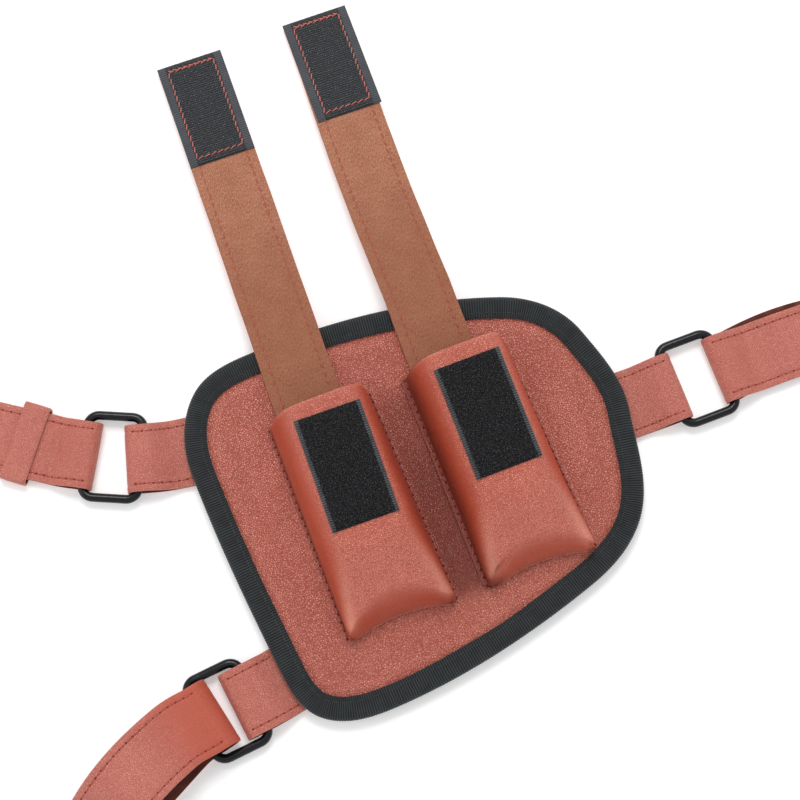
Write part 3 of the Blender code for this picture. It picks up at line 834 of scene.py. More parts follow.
def make_padding(loop, inward):
    """The foam, swollen by simulation, then pressed down where the pouches and flaps rest on it."""
    line = [(p, loop[(i + 1) % len(loop)]) for i, p in enumerate(loop)]
    walls = [v for a, b in line for v in (a - UP * MM, b - UP * MM, b + UP * MM, a + UP * MM)]
    quads = [(4 * i, 4 * i + 1, 4 * i + 2, 4 * i + 3) for i in range(len(line))]
    edge_tree = BVHTree.FromPolygons(walls, quads)
    obj = pad_start(loop, inward)
    remesh = obj.modifiers.new("remesh", "REMESH")
    remesh.mode = "VOXEL"
    remesh.voxel_size = 4.0 * MM
    applied(obj)
    inflate(obj, edge_tree)
    for v in obj.data.vertices:
        if v.co.z > 3.0 * MM:
            free = smoothstep((clearance(v.co) - 1.0 * MM) / (9.0 * MM))
            v.co.z = min(v.co.z, mix(5.95 * MM, 7.1 * MM, free))
    subdivide = obj.modifiers.new("smooth", "SUBSURF")
    subdivide.levels = 1
    applied(obj)
    obj.data.materials.clear()
    obj.data.materials.append(FOAM)
    obj.data.shade_smooth()
    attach(obj, "panel")
    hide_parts("panel_foam_core")
    return obj


def pad_height(tree, point):
    """The top of the foam over a point, or None outside it."""
    hit = tree.ray_cast(Vector((point.x, point.y, 0.05)), -UP)
    return hit[0].z if hit[0] is not None else None


COVER_STEPS = (1.0, 3.0, 5.0, 7.0, 8.3, 8.9, 9.5, 10.2, 11.0, 12.0, 13.4, 15.0, 17.0)
COVER_RINGS = 26


def cover_rows(loop, inward):
    """Rings of (point, distance in from the edge) that cover the panel from its edge to its middle."""
    rows = []
    for distance in COVER_STEPS:
        rows.append([(p + n * distance * MM, distance * MM) for p, n in zip(loop, inward)])
    inner = rows[-1]
    for k in range(1, COVER_RINGS):
        share = k / COVER_RINGS
        ring = []
        for point, _ in inner:
            ring.append((point.lerp(PAD_MIDDLE, share), COVER_STEPS[-1] * MM + share * 60 * MM))
        rows.append(ring)
    return rows


def stitch_dip(point):
    """How far the leather is drawn down along the pouches' seams, from 0 to 1."""
    deepest = 0.0
    for side, middle in POUCH_MIDDLE_X.items():
        if not POUCH_FOOT_Y - 2 * MM < point.y < POUCH_MOUTH_Y + 1 * MM:
            continue
        along = (POUCH_MOUTH_Y - point.y) / (POUCH_MOUTH_Y - POUCH_FOOT_Y)
        half = mix(FOOT_HALF[0], FOOT_HALF[1], along) + 1.2 * MM
        aside = POUCH_LEAN[side] * (1.0 - along)
        off = abs(abs(point.x - middle - aside) - half)
        deepest = max(deepest, 1.0 - smoothstep(off / (3.2 * MM)))
    return deepest


def cover_height(tree, point, distance):
    """The height of the front leather's upper face."""
    rim = LEATHER_LOW_Z + 0.85 * MM
    if distance < 8.95 * MM:
        return rim
    swell = smoothstep((distance - 8.6 * MM) / (6.5 * MM)) ** 0.6
    foam = pad_height(tree, point)
    top = FRONT_Z if foam is None else max(foam + 1.35 * MM, FRONT_Z - 0.2 * MM)
    free = smoothstep((clearance(point) - 0.6 * MM) / (8.0 * MM))
    top = mix(min(top, FRONT_Z + 0.05 * MM), top, free)
    top += 0.16 * MM * free * wobble(point, 14 * MM, 3.0)
    top -= 0.35 * MM * stitch_dip(point)
    return mix(rim, top, swell)


def make_cover(loop, inward, padding):
    """The front leather: a skin over the foam, gripped by the binding at its rim."""
    tree = BVHTree.FromObject(padding, bpy.context.evaluated_depsgraph_get())
    rows = cover_rows(loop, inward)
    top = []
    for row in rows:
        top.append([Vector((p.x, p.y, cover_height(tree, p, d))) for p, d in row])
    for _ in range(2):
        smoothed = []
        for j in range(6, len(top)):
            above = top[j - 1]
            below = top[min(j + 1, len(top) - 1)]
            count = len(above)
            ring = []
            for i in range(count):
                around = (above[i].z + below[i].z + top[j][i - 1].z + top[j][(i + 1) % count].z) / 4
                ring.append(mix(top[j][i].z, around, 0.5))
            smoothed.append(ring)
        for j, ring in enumerate(smoothed, start=6):
            for i, z in enumerate(ring):
                top[j][i].z = z
    bottom = [[p - UP * (0.85 * MM if j < 5 else 1.0 * MM) for p in row] for j, row in enumerate(top)]
    shape = Shape()
    faces = bottom[::-1] + top
    shape.loft(faces, range(len(faces)), range(len(loop) + 1), tube=True)
    shape.close_with_hubs(faces)
    cover = shape.piece("panel_cover", "panel", "leather", [LEATHER], stands_for=["panel_front_leather"])
    paint_panel_shade(cover.data)


def make_lining(loop, inward):
    """The back lining, flat where it lies on something and rising to the rim."""
    rows = cover_rows(loop, inward)
    rim_low = 4.0 * MM
    upper, lower = [], []
    for row in rows:
        high_ring, low_ring = [], []
        for p, d in row:
            rise = 1.0 - smoothstep((d - 8.6 * MM) / (6.8 * MM))
            pucker = 0.05 * MM * (1.0 + wobble(p, 9 * MM, 8.0)) * smoothstep((d - 16 * MM) / (8 * MM))
            low = rim_low * rise + pucker
            low_ring.append(Vector((p.x, p.y, low)))
            high_ring.append(Vector((p.x, p.y, low + mix(0.75 * MM, 0.5 * MM, rise))))
        upper.append(high_ring)
        lower.append(low_ring)
    shape = Shape()
    faces = lower[::-1] + upper
    shape.loft(faces, range(len(faces)), range(len(loop) + 1), tube=True)
    shape.close_with_hubs(faces)
    shape.piece("panel_lining", "panel", "lining", [LINING], stands_for=["panel_back_lining"])


def binding_section():
    """The folded tape's section from its front inner edge, round the rim and back: (inset, height) in
    metres. The tape bellies out at the fold and its legs press in where they are sewn."""
    top = BINDING_TOP
    low = BINDING_LOW
    t = BINDING_THICK
    outer = [(8.6, top - 0.22 * MM), (8.3, top - 0.05 * MM), (7.4, top), (6.6, top - 0.06 * MM)]
    outer += [(5.4, top + 0.02 * MM), (3.8, top + 0.1 * MM), (2.4, top + 0.02 * MM), (1.3, top - 0.22 * MM)]
    outer += [(0.55, top - 0.75 * MM), (0.12, top - 1.5 * MM), (0.0, (top + low) / 2)]
    outer += [(0.14, low + 1.3 * MM), (0.6, low + 0.6 * MM), (1.4, low + 0.16 * MM), (2.6, low)]
    outer += [(6.4, low + 0.04 * MM), (8.2, low), (8.6, low + 0.15 * MM)]
    inner = [(8.6, low + t), (2.0, low + t), (0.9, low + t + 0.6 * MM), (0.7, (top + low) / 2)]
    inner += [(0.9, top - t - 0.7 * MM), (2.0, top - t - 0.05 * MM), (5.0, top - t)]
    inner += [(8.6, top - t - 0.1 * MM)]
    return [(d * MM, z) for d, z in outer + inner]


def make_binding():
    """Ribbed tape folded round the rim. Its ribs are real: every second row stands a little proud."""
    fine = outline(60)
    _, length = even_loop(fine, 1000)
    count = 2 * round(length / RIB)
    loop, length = even_loop(fine, count)
    inward = inward_vectors(loop)
    section = binding_section()
    middle_z = (BINDING_TOP + BINDING_LOW) / 2
    rows = []
    for k, (p, n) in enumerate(zip(loop, inward)):
        rib = -0.1 * MM if k % 2 else 0.1 * MM
        breathe = 0.22 * MM * wobble(p, 16 * MM, 5.0)
        pucker = 0.05 * MM * math.cos(2 * math.pi * k * length / count / (3.1 * MM))
        row = []
        for i, (d, z) in enumerate(section):
            outer = i < 18
            edge = smoothstep((d - 5.5 * MM) / (3.0 * MM))
            reach = d + edge * (breathe + 0.08 * MM * wobble(p, 4 * MM, 9.0))
            reach -= 0.0 if outer else 0.02 * MM
            up = 1.0 if z > middle_z else -1.0
            lift = 0.0
            if outer:
                flat = smoothstep(abs(z - middle_z) / (1.4 * MM))
                lift = rib * flat * up + pucker * up * math.exp(-(((d - BINDING_SEAM) / (1.0 * MM)) ** 2))
                reach -= rib * (1.0 - flat)
            row.append(p + n * reach + UP * (z + lift))
        rows.append(row)
    us = [RIB / 2 * k for k in range(count + 1)]
    vs = running([Vector((d, 0.0, z)) for d, z in section + section[:1]])
    shape = Shape()
    shape.loft(rows, us, vs, tube=True, ring=True)
    shape.piece(
        "panel_binding", "panel", "binding_tape", [BINDING_FINISH], smooth_angle=32,
        stands_for=["edge_binding"],
    )


def binding_seam(z, up=1.0):
    """The closed line round the panel along which the binding is sewn, at the height z."""
    loop, _ = even_loop(outline(40), 700)
    points = [p + n * BINDING_SEAM + UP * z for p, n in zip(loop, inward_vectors(loop))]
    return Line(points + points[:1], [UP * up] * (len(points) + 1))


def make_binding_stitches():
    top = binding_seam(BINDING_TOP - 0.06 * MM)
    low = binding_seam(BINDING_LOW + 0.04 * MM, -1.0)
    threads = Shape()
    for line in (top, low):
        sew(threads, line, 0.17 * MM, 0.78, 11, 3.1 * MM)
    threads.piece("panel_binding_stitches", "panel", "binding_tape", [BLACK_THREAD], outwards=False)


# ---------------------------------------------------------------- pouches

WALL_COLUMNS = 12
FLANGE_COLUMNS = 3
FRONT_COLUMNS = 28
ALONG_ROWS = 64
RELAX_ROUNDS = 40
TAUT_AND_SHADED_ROUNDS = 14
EAR_X = 20.0 * MM
EAR_Y = POUCH_FOOT_Y + 1.0 * MM
FLANGE = {"left": (1.1 * MM, 1.1 * MM), "right": (2.0 * MM, 1.2 * MM)}


def crest_point(along, side):
    """The ridge between a pouch's front and its side wall, with y running from the mouth to the toe."""
    y = mix(POUCH_MOUTH_Y + 1.2 * MM, POUCH_FOOT_Y + 1.0 * MM, along)
    slope = smoothstep((POUCH_SLOPE_Y - y) / (POUCH_SLOPE_Y - POUCH_FOOT_Y))
    height = mix(POUCH_HEIGHT, POUCH_TOE_HEIGHT - 3.6 * MM, slope**1.15)
    half = mix(CREST_HALF[0], CREST_HALF[1] + 0.4 * MM, slope)
    return Vector((side * half, y, height))


def foot_point(along, side, lean):
    half = mix(FOOT_HALF[0], FOOT_HALF[1], along)
    y = mix(POUCH_MOUTH_Y, POUCH_FOOT_Y, along)
    return Vector((side * half + lean * (1.0 - along), y, POUCH_WALL))


def wall_point(along, side, lean, rise):
    """A side wall's point at rise, from 0 at the foot to 1 at the crest. The wall bows out a little."""
    foot = foot_point(along, side, lean)
    crest = crest_point(along, side)
    point = foot.lerp(crest, rise)
    bow = 1.35 * MM * math.sin(math.pi * rise**0.85) * (1.0 - 0.5 * smoothstep((along - 0.8) / 0.2))
    point.x += side * bow
    point.z += 0.8 * MM * math.sin(math.pi * rise)
    return point


def front_point(along, across):
    """The front's point at across, from -1 to 1. The toe end is arched up and drawn in at its middle."""
    left = crest_point(along, -1)
    right = crest_point(along, 1)
    point = left.lerp(right, (across + 1) / 2)
    toe = smoothstep((along - 0.55) / 0.45)
    dome = (1.0 - across * across) ** 0.75 if abs(across) < 1.0 else 0.0
    point.z += dome * mix(0.1 * MM, 5.4 * MM, toe)
    point.y += dome * 11.5 * MM * toe**2.4
    return point


def toe_point(across, drop):
    """The toe wall's point, at drop from 0 at the ridge to 1 at the foot."""
    ridge = front_point(1.0, across)
    foot = Vector((mix(-FOOT_HALF[1], FOOT_HALF[1], (across + 1) / 2), POUCH_FOOT_Y, POUCH_WALL))
    foot.x *= 0.985
    foot.y += (1.0 - across * across) * 3.6 * MM
    point = ridge.lerp(foot, drop)
    belly = (1.0 - across**4) * math.sin(math.pi * drop)
    point.y -= 0.6 * MM * belly
    point.z += 1.2 * MM * belly
    return point


def round_toe_corner(point):
    """Draws a point near one of the toe's square corners in, so that the corner turns in an arc."""
    radius = 5.0 * MM
    a = 1.0 - (FOOT_HALF[1] + 1.1 * MM - abs(point.x)) / radius
    b = 1.0 - (point.y - POUCH_FOOT_Y + 0.4 * MM) / radius
    if a <= 0.0 or b <= 0.0:
        return point
    x = a * math.sqrt(max(0.2, 1.0 - b * b / 2))
    y = b * math.sqrt(max(0.2, 1.0 - a * a / 2))
    side = math.copysign(1.0, point.x)
    return Vector((point.x + side * (x - a) * radius, point.y - (y - b) * radius, point.z))


def pouch_grid(side):
    """Points of a pouch's outer skin and its faces, in the pouch's own frame."""
    lean = POUCH_LEAN[side]
    flange_left, flange_right = FLANGE[side]
    edge = WALL_COLUMNS + FLANGE_COLUMNS
    columns = 2 * edge + FRONT_COLUMNS + 1

    def rise_of(k):
        return 1.0 - (1.0 - k / WALL_COLUMNS) ** 1.25

    def row_point(along, i):
        mirrored = i > edge + FRONT_COLUMNS
        k = columns - 1 - i if mirrored else i
        which = 1 if mirrored else -1
        if k < FLANGE_COLUMNS:
            point = foot_point(along, which, lean)
            width = (flange_right if mirrored else flange_left) * (1.0 - k / FLANGE_COLUMNS)
            point.x += which * width
            return point
        if k <= edge:
            return wall_point(along, which, lean, rise_of(k - FLANGE_COLUMNS))
        return front_point(along, 2.0 * (i - edge) / FRONT_COLUMNS - 1.0)

    points = []
    for j in range(ALONG_ROWS + 1):
        t = j / ALONG_ROWS
        along = 1.0 - (1.0 - t) ** 1.15 * (1.0 - 0.12 * t)
        for i in range(columns):
            points.append(row_point(along, i))
    rows = [[j * columns + i for i in range(columns)] for j in range(ALONG_ROWS + 1)]
    faces = []
    for j in range(ALONG_ROWS):
        for i in range(columns - 1):
            faces.append((rows[j][i], rows[j][i + 1], rows[j + 1][i + 1], rows[j + 1][i]))
    last = rows[-1]
    above = last[edge : edge + FRONT_COLUMNS + 1]
    for k in range(1, edge + 1):
        below = [last[edge - k]]
        for m in range(1, FRONT_COLUMNS):
            across = 2.0 * m / FRONT_COLUMNS - 1.0
            if k <= WALL_COLUMNS:
                point = toe_point(across, 1.0 - rise_of(WALL_COLUMNS - k))
            else:
                point = toe_point(across, 1.0)
                point.y -= 0.35 * MM * (k - WALL_COLUMNS) / FLANGE_COLUMNS
            points.append(point)
            below.append(len(points) - 1)
        below.append(last[edge + FRONT_COLUMNS + k])
        for m in range(FRONT_COLUMNS):
            faces.append((above[m], above[m + 1], below[m + 1], below[m]))
        above = below
    return points, faces


def relax(points, faces, weight_of, rounds):
    """Rounds a mesh's ridges by moving each point towards its neighbours' middle by its own weight.
    A point on the open border only follows its neighbours on the border."""
    used = {}
    for face in faces:
        for a, b in zip(face, face[1:] + face[:1]):
            edge = (min(a, b), max(a, b))
            used[edge] = used.get(edge, 0) + 1
    around = [[] for _ in points]
    border = [[] for _ in points]
    for (a, b), count in used.items():
        around[a].append(b)
        around[b].append(a)
        if count == 1:
            border[a].append(b)
            border[b].append(a)
    near = [edge or every for edge, every in zip(border, around)]
    weights = [weight_of(p) for p in points]
    for _ in range(rounds):
        moved = []
        for p, others, w in zip(points, near, weights):
            middle = Vector()
            for n in others:
                middle += points[n]
            moved.append(p.lerp(middle / len(others), w))
        points = moved
    return points


def pouch_creases(point, side):
    """How far soft folds near the toe's corners and the mouth move the leather, outwards."""
    move = 0.18 * MM * wobble(point, 11 * MM, 2.0 if side == "left" else 6.0)
    for which in (-1, 1):
        ear = Vector((which * EAR_X, EAR_Y, 8.0 * MM))
        away = point - ear
        near = math.exp(-away.length / (7.5 * MM))
        angle = math.atan2(away.y, away.x * which)
        phase = 1.3 if side == "left" else 0.2
        move += 0.62 * MM * near * math.sin(angle * 5.0 + phase * which)
    if side == "right":
        fold = Vector((-17.0 * MM, POUCH_FOOT_Y + 4.5 * MM, 9.0 * MM)) - point
        across_fold = fold.x * 0.5 - fold.y * 0.87
        move -= 1.9 * MM * math.exp(-((across_fold / (0.9 * MM)) ** 2) - (fold.length / (4.5 * MM)) ** 2)
    return move


def make_pouch(side):
    points, faces = pouch_grid(side)

    def weight_of(p):
        if p.z < POUCH_WALL + 0.3 * MM:
            return 0.0
        below = smoothstep((-2.0 * MM - p.y) / (14.0 * MM))
        ear = math.hypot(abs(p.x) - EAR_X, p.y - POUCH_FOOT_Y)
        return mix(0.42, 0.8, below) * mix(0.16, 1.0, smoothstep((ear - 0.5 * MM) / (6.0 * MM)))

    points = relax([round_toe_corner(p) for p in points], faces, weight_of, RELAX_ROUNDS)
    work = bpy.data.meshes.new("pouch_work")
    work.from_pydata([tuple(p) for p in points], [], faces)
    normals = [Vector(v.normal) for v in work.vertices]
    top = crest_point(0.0, 1).z
    out = 1.0 if normals[len(normals) // 3].z >= 0 else -1.0
    if sum(n.z for n in normals) < 0:
        out = -1.0
    for v, n in zip(work.vertices, normals):
        free = smoothstep((v.co.z - POUCH_WALL) / (4 * MM))
        free *= 1.0 if v.co.y < POUCH_MOUTH_Y - 2 * MM else 0.3
        patch = v.co.y > -6.5 * MM and v.co.z > top - 1.0 * MM
        v.co += n * out * pouch_creases(v.co, side) * free * (0.15 if patch else 1.0)
        if patch:
            v.co.z = min(v.co.z, top)
    obj = shown(bpy.data.objects.new(f"pouch_{side}", work))
    thick = obj.modifiers.new("wall", "SOLIDIFY")
    thick.thickness = POUCH_WALL
    thick.offset = -out
    thick.use_even_offset = False
    thick.material_offset_rim = 1
    work.materials.append(POUCH_LEATHER)
    work.materials.append(CUT_EDGE)
    mesh = applied(obj)
    for v in mesh.vertices:
        v.co.z = max(v.co.z, 0.05 * MM)
    mesh.transform(Matrix.Translation((POUCH_MIDDLE_X[side], 0.0, ON_PANEL_Z)))
    paint_wear_and_shading(mesh, side)
    face_outwards(mesh)
    mesh.shade_smooth()
    mesh.set_sharp_from_angle(angle=math.radians(50))
    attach(obj, "panel")
    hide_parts(f"pouch_{side}_shell")


def ear_ridge(point):
    """How near a point is to the soft ridge that runs up the front from one of the toe's corners."""
    corner = Vector((19.0 * MM, POUCH_FOOT_Y + 2.5 * MM, 0.0))
    line = Vector((12.5 * MM, -9.0 * MM, 0.0)) - corner
    flat = Vector((abs(point.x), point.y, 0.0)) - corner
    share = flat.dot(line) / line.length_squared
    away = (flat - line * share).length
    fade = smoothstep((share + 0.05) / 0.15) * (1.0 - smoothstep(share))
    return fade * math.exp(-((away / (2.2 * MM)) ** 2)) * smoothstep((point.z - 2 * MM) / (5 * MM))


def paint_wear_and_shading(mesh, side):
    """Marks a pouch's mouth as rubbed, which is real wear, and lightens its toe corners and the ridges up
    from them as a painted highlight.
    Marks its walls and toe slope as drawn tight, which smooths their grain and paints them darker as shade,
    and paints shade at the walls' feet, on the wall that faces the other pouch and under the flange.
    """
    wear_and_highlight = mesh.attributes.new("wear_and_highlight", "FLOAT", "POINT")
    painted_shade = mesh.attributes.new("painted_shade", "FLOAT", "POINT")
    taut_and_shaded = mesh.attributes.new("taut_and_shaded", "FLOAT", "POINT")
    normals = [v.normal.copy() for v in mesh.vertices]
    inner = 1.0 if side == "left" else -1.0
    taut_shade = [0.0] * len(mesh.vertices)
    for v, n in zip(mesh.vertices, normals):
        p = v.co - Vector((POUCH_MIDDLE_X[side], 0.0, ON_PANEL_Z))
        mouth = smoothstep((p.y - POUCH_MOUTH_Y + 0.6 * MM) / (1.4 * MM))
        ridge = 0.0
        for which in (-1, 1):
            ear = Vector((which * EAR_X, EAR_Y, 9.0 * MM))
            ridge = max(ridge, math.exp(-(p - ear).length / (3.0 * MM)))
        # Real wear at the mouth's edge, and a painted highlight at the toe's corners and along the ridges
        # up from them.
        wear_and_highlight.data[v.index].value = min(1.0, 0.3 * mouth + 0.4 * ridge + 0.7 * ear_ridge(p))
        # Painted shade: the walls and toe slope, by how far they face aside, are marked as drawn tight and
        # so painted darker.
        high = smoothstep((p.z - 1.2 * MM) / (3.0 * MM))
        toe = smoothstep((-26.0 * MM - p.y) / (9.0 * MM)) * (1.0 - smoothstep((abs(n.z) - 0.62) / 0.34))
        wall = 1.0 - smoothstep((abs(n.z) - 0.3) / 0.62)
        taut_shade[v.index] = high * max(wall, (0.55 if side == "left" else 0.25) * toe)
        # Painted shade at the walls' feet, on the wall that faces the other pouch, and under the flange.
        base = smoothstep((p.y - POUCH_FOOT_Y - 2.0 * MM) / (6.0 * MM))
        low = base * (1.0 - smoothstep((p.z - 1.0 * MM) / (3.5 * MM)))
        facing = smoothstep((p.x * inner - 13.0 * MM) / (5.0 * MM))
        facing *= 1.0 - smoothstep(p.z / (17.0 * MM))
        shaded = 0.4 if side == "left" else 0.95
        painted_shade.data[v.index].value = max(0.6 * low, shaded * facing) if p.z > 0.3 * MM else 0.3
    pairs = [tuple(edge.vertices) for edge in mesh.edges]
    for _ in range(TAUT_AND_SHADED_ROUNDS):
        total = taut_shade[:]
        seen = [1] * len(taut_shade)
        for a, b in pairs:
            total[a] += taut_shade[b]
            total[b] += taut_shade[a]
            seen[a] += 1
            seen[b] += 1
        taut_shade = [t / s for t, s in zip(total, seen)]
    taut_and_shaded.data.foreach_set("value", taut_shade)


def paint_panel_shade(mesh):
    """Paints shade on the panel's leather between and beside the pouches, where their walls shade it."""
    painted_shade = mesh.attributes.new("painted_shade", "FLOAT", "POINT")
    between = (POUCH_MIDDLE_X["left"] + POUCH_MIDDLE_X["right"]) / 2
    for v in mesh.vertices:
        p = v.co
        lower = smoothstep((p.y - POUCH_FOOT_Y + 3.0 * MM) / (9.0 * MM))
        ends = lower * (1.0 - smoothstep((p.y - 30 * MM) / (14 * MM)))
        middle = math.exp(-(((p.x - between) / (8.5 * MM)) ** 4))
        painted_shade.data[v.index].value = (0.95 - 0.3 * smoothstep(p.y / (30.0 * MM))) * middle * ends


def foot_line(side, which):
    """The seam along one side of a pouch, on its flange."""
    flange = FLANGE[side][0 if which < 0 else 1]
    points = []
    for k in range(60):
        along = 0.012 + 0.965 * k / 59
        p = foot_point(along, which, POUCH_LEAN[side])
        p.x += POUCH_MIDDLE_X[side] + which * min(0.55 * MM, flange / 2)
        p.z = ON_PANEL_Z + POUCH_WALL - 0.02 * MM
        points.append(p)
    return Line(points, [UP] * len(points))


def make_pouch_stitches(side):
    threads = Shape()
    holes = Shape()
    for which in (-1, 1):
        line = foot_line(side, which)
        sew(threads, line, 0.27 * MM, 0.76, 21 + which)
        pierce(holes, line, 0.5 * MM)
    threads.piece(f"pouch_{side}_stitches", "panel", "leather", [DARK_THREAD], outwards=False)
    holes.piece(f"pouch_{side}_needle_holes", "panel", "leather", [NEEDLE_HOLE], outwards=False)


# ---------------------------------------------------------------- hook-and-loop tapes

SELVAGE = 1.5 * MM


def tape_base(shape, width, length, low, high, selvage, marks):
    """A woven tape with soft edges in its own frame. marks are the finish numbers of ground and selvage."""
    xs = [-width / 2, -width / 2 + 0.3 * MM]
    xs += [-width / 2 + selvage * k / 3 for k in (1, 2, 3)]
    inner = width / 2 - selvage
    xs += [mix(-inner, inner, k / 24) for k in range(1, 24)]
    xs += [-x for x in reversed(xs[:5])]
    steps = 48
    ys = [-length / 2 + length * k / steps for k in range(steps + 1)]
    rows = []
    for j, y in enumerate(ys):
        row = []
        for i, x in enumerate(xs):
            rim = min(width / 2 - abs(x), (length / 2 - abs(y)) * 2.0)
            edge = 1.0 - smoothstep(rim / (0.5 * MM))
            ripple = 0.05 * MM * wobble(Vector((x, y, 0.0)), 5 * MM, 4.0)
            fray = 0.1 * MM * wobble(Vector((x, y, 0.0)), 1.2 * MM, 7.0) if j in (0, steps) else 0.0
            row.append(Vector((x, y + fray, high - 0.3 * MM * edge + ripple)))
        for x in reversed(xs):
            row.append(Vector((x, y, low)))
        rows.append(row)
    count = len(rows[0])
    widths = xs + xs[::-1]
    vs = widths + widths[:1]

    def mark(j, i):
        middle = abs((widths[i] + widths[(i + 1) % count]) / 2) < inner
        return marks[0] if middle and i < count // 2 else marks[1]

    start = len(shape.points)
    shape.loft(rows, ys, vs, tube=True, mark=mark)
    half = len(xs)
    for j in (0, steps):
        a = start + j * count
        for i in range(half - 1):
            corners = [a + i, a + i + 1, a + count - 2 - i, a + count - 1 - i]
            uvs = [(ys[j], xs[i]), (ys[j], xs[i + 1]), (ys[j], xs[i + 1]), (ys[j], xs[i])]
            shape.face(corners if j else corners[::-1], uvs, marks[1])


def curl(shape, foot, lean, height, width, turn, thick, mark):
    """One short fibre that stands up from foot, bends over and comes part of the way down."""
    across = Vector((math.cos(turn), math.sin(turn), 0.0))
    side = Vector((-across.y, across.x, 0.0))
    rows = []
    profile = ((0.0, 0.0), (0.05, 0.55), (0.3, 0.95), (0.62, 1.0), (0.9, 0.72), (1.0, 0.4))
    for reach, lift in profile:
        centre = foot + across * (reach * width) + UP * (lift * height) + side * (lean * lift)
        top = centre - side * thick * 0.5 + UP * thick
        rows.append([centre + side * thick, top, centre - side * thick])
    us = [foot.x + k * 0.0002 for k in range(len(rows))]
    vs = [foot.y, foot.y + 0.0002, foot.y + 0.0004, foot.y + 0.0006]
    shape.loft(rows, us, vs, tube=True, caps=True, mark=lambda j, i: mark)


def make_loop_tape(side):
    """The loop tape on a pouch: a pile of tiny curls between two ribbed selvages."""
    picked = random.Random(31 if side == "left" else 37)
    shape = Shape()
    tape_base(shape, TAPE_WIDTH, LOOP_LENGTH, 0.03 * MM, 0.62 * MM, SELVAGE, (0, 1))
    inner = TAPE_WIDTH / 2 - SELVAGE + 0.2 * MM
    pitch = 0.58 * MM
    y = -LOOP_LENGTH / 2 + 0.25 * MM
    while y < LOOP_LENGTH / 2 - 0.2 * MM:
        x = -inner + picked.uniform(-0.3, 0.5) * MM
        stop = inner + picked.uniform(-0.5, 0.3) * MM
        while x < stop:
            aside = picked.uniform(-0.3, 0.3) * MM
            ahead = picked.uniform(-0.3, 0.3) * MM
            foot = Vector((x + aside, y + ahead, 0.5 * MM))
            foot.y = min(max(foot.y, -LOOP_LENGTH / 2 + 0.2 * MM), LOOP_LENGTH / 2 - 0.2 * MM)
            turn = picked.uniform(0.0, 2 * math.pi)
            height = picked.uniform(0.3, 0.68) * MM
            width = picked.uniform(0.28, 0.55) * MM
            curl(shape, foot, picked.uniform(-0.2, 0.2) * MM, height, width, turn, 0.075 * MM, 2)
            x += pitch
        y += pitch
    place = Matrix.Translation((POUCH_MIDDLE_X[side], LOOP_MIDDLE_Y, ON_PANEL_Z + POUCH_HEIGHT + 0.05 * MM))
    place = place @ Matrix.Rotation(math.radians(LOOP_TURN[side]), 4, "Z")
    finishes = [LOOP_FINISH, LOOP_SELVAGE, LOOP_FINISH]
    shape.piece(
        f"pouch_{side}_loop", "panel", "loop_tape", finishes, place=place, outwards=False,
        stands_for=[f"pouch_{side}_loop_tape"],
    )


# ---------------------------------------------------------------- flaps


def flap_matrix(side):
    x, turn = FLAP_PLACES[side]
    return Matrix.Translation((x, FLAP_FOLD_Y, FLAP_FACE_Z)) @ Matrix.Rotation(math.radians(turn), 4, "Z")


def flap_point(across, along, height):
    """A point of a flap in its own frame: along from the first fold, height from the fabric's face."""
    ease = 5.0 * MM
    if along <= -ease:
        return Vector((across, along, height))
    if along >= ease:
        angle = FLAP_DROOP
        drop = math.sin(FLAP_DROOP) * along
        ahead = math.cos(FLAP_DROOP) * along
    else:
        t = (along + ease) / (2 * ease)
        angle = FLAP_DROOP * t
        drop = FLAP_DROOP * ease * t * t
        ahead = along
    return Vector((across, ahead + math.sin(angle) * height, -drop + math.cos(angle) * height))


def flap_wave(across, along, seed):
    """The flap's slight unevenness: ripples along it and edges that lift a little."""
    free = smoothstep((along + 30 * MM) / (20 * MM))
    ripple = 0.16 * MM * wobble(Vector((across, along, 0.0)), 22 * MM, seed)
    return free * ripple - 0.06 * MM * free


def flap_bend(along, side):
    """How far the flap has bent aside at a distance from its first fold."""
    share = (along + 10 * MM) / (100 * MM)
    return FLAP_BOW[side] * math.sin(math.pi * min(1.0, max(0.0, share)))


def flap_half(along, sign, seed):
    """Half the flap's width, with hand-cut unevenness along its edge."""
    return FLAP_HALF + 0.18 * MM * wobble(Vector((sign * 0.02, along, 0.0)), 18 * MM, seed + 2.0)


def flap_layer(side, alongs, low, high, seed):
    """One layer of a flap from low to high, with soft edges and a groove along each row of stitches."""
    rows = []
    shares = mirror_shares((0.0, 0.025, 0.08, 0.16, 0.235, 0.27, 0.3, 0.34, 0.4, 0.5))
    for along in alongs:
        left = flap_bend(along, side) - flap_half(along, -1, seed)
        right = flap_bend(along, side) + flap_half(along, 1, seed)
        wave = [flap_wave(mix(left, right, s), along, seed) for s in shares]
        row = []
        for s, w in zip(shares, wave):
            rim = min(s, 1.0 - s)
            round_off = (1.0 - smoothstep(rim / 0.03)) * 0.16 * MM
            groove = 0.17 * MM * math.exp(-(((rim - 0.135) / 0.016) ** 2))
            across = mix(left, right, s)
            row.append(flap_point(across, along, high - round_off - groove + w))
        for s, w in zip(reversed(shares), reversed(wave)):
            rim = min(s, 1.0 - s)
            round_off = (1.0 - smoothstep(rim / 0.03)) * 0.1 * MM
            row.append(flap_point(mix(left, right, s), along, low + round_off + w))
        rows.append(row)
    across_at = [s * 2 * FLAP_HALF for s in shares]
    vs = across_at + [2 * FLAP_HALF + c for c in across_at]
    return rows, vs + [vs[-1] + 1 * MM]


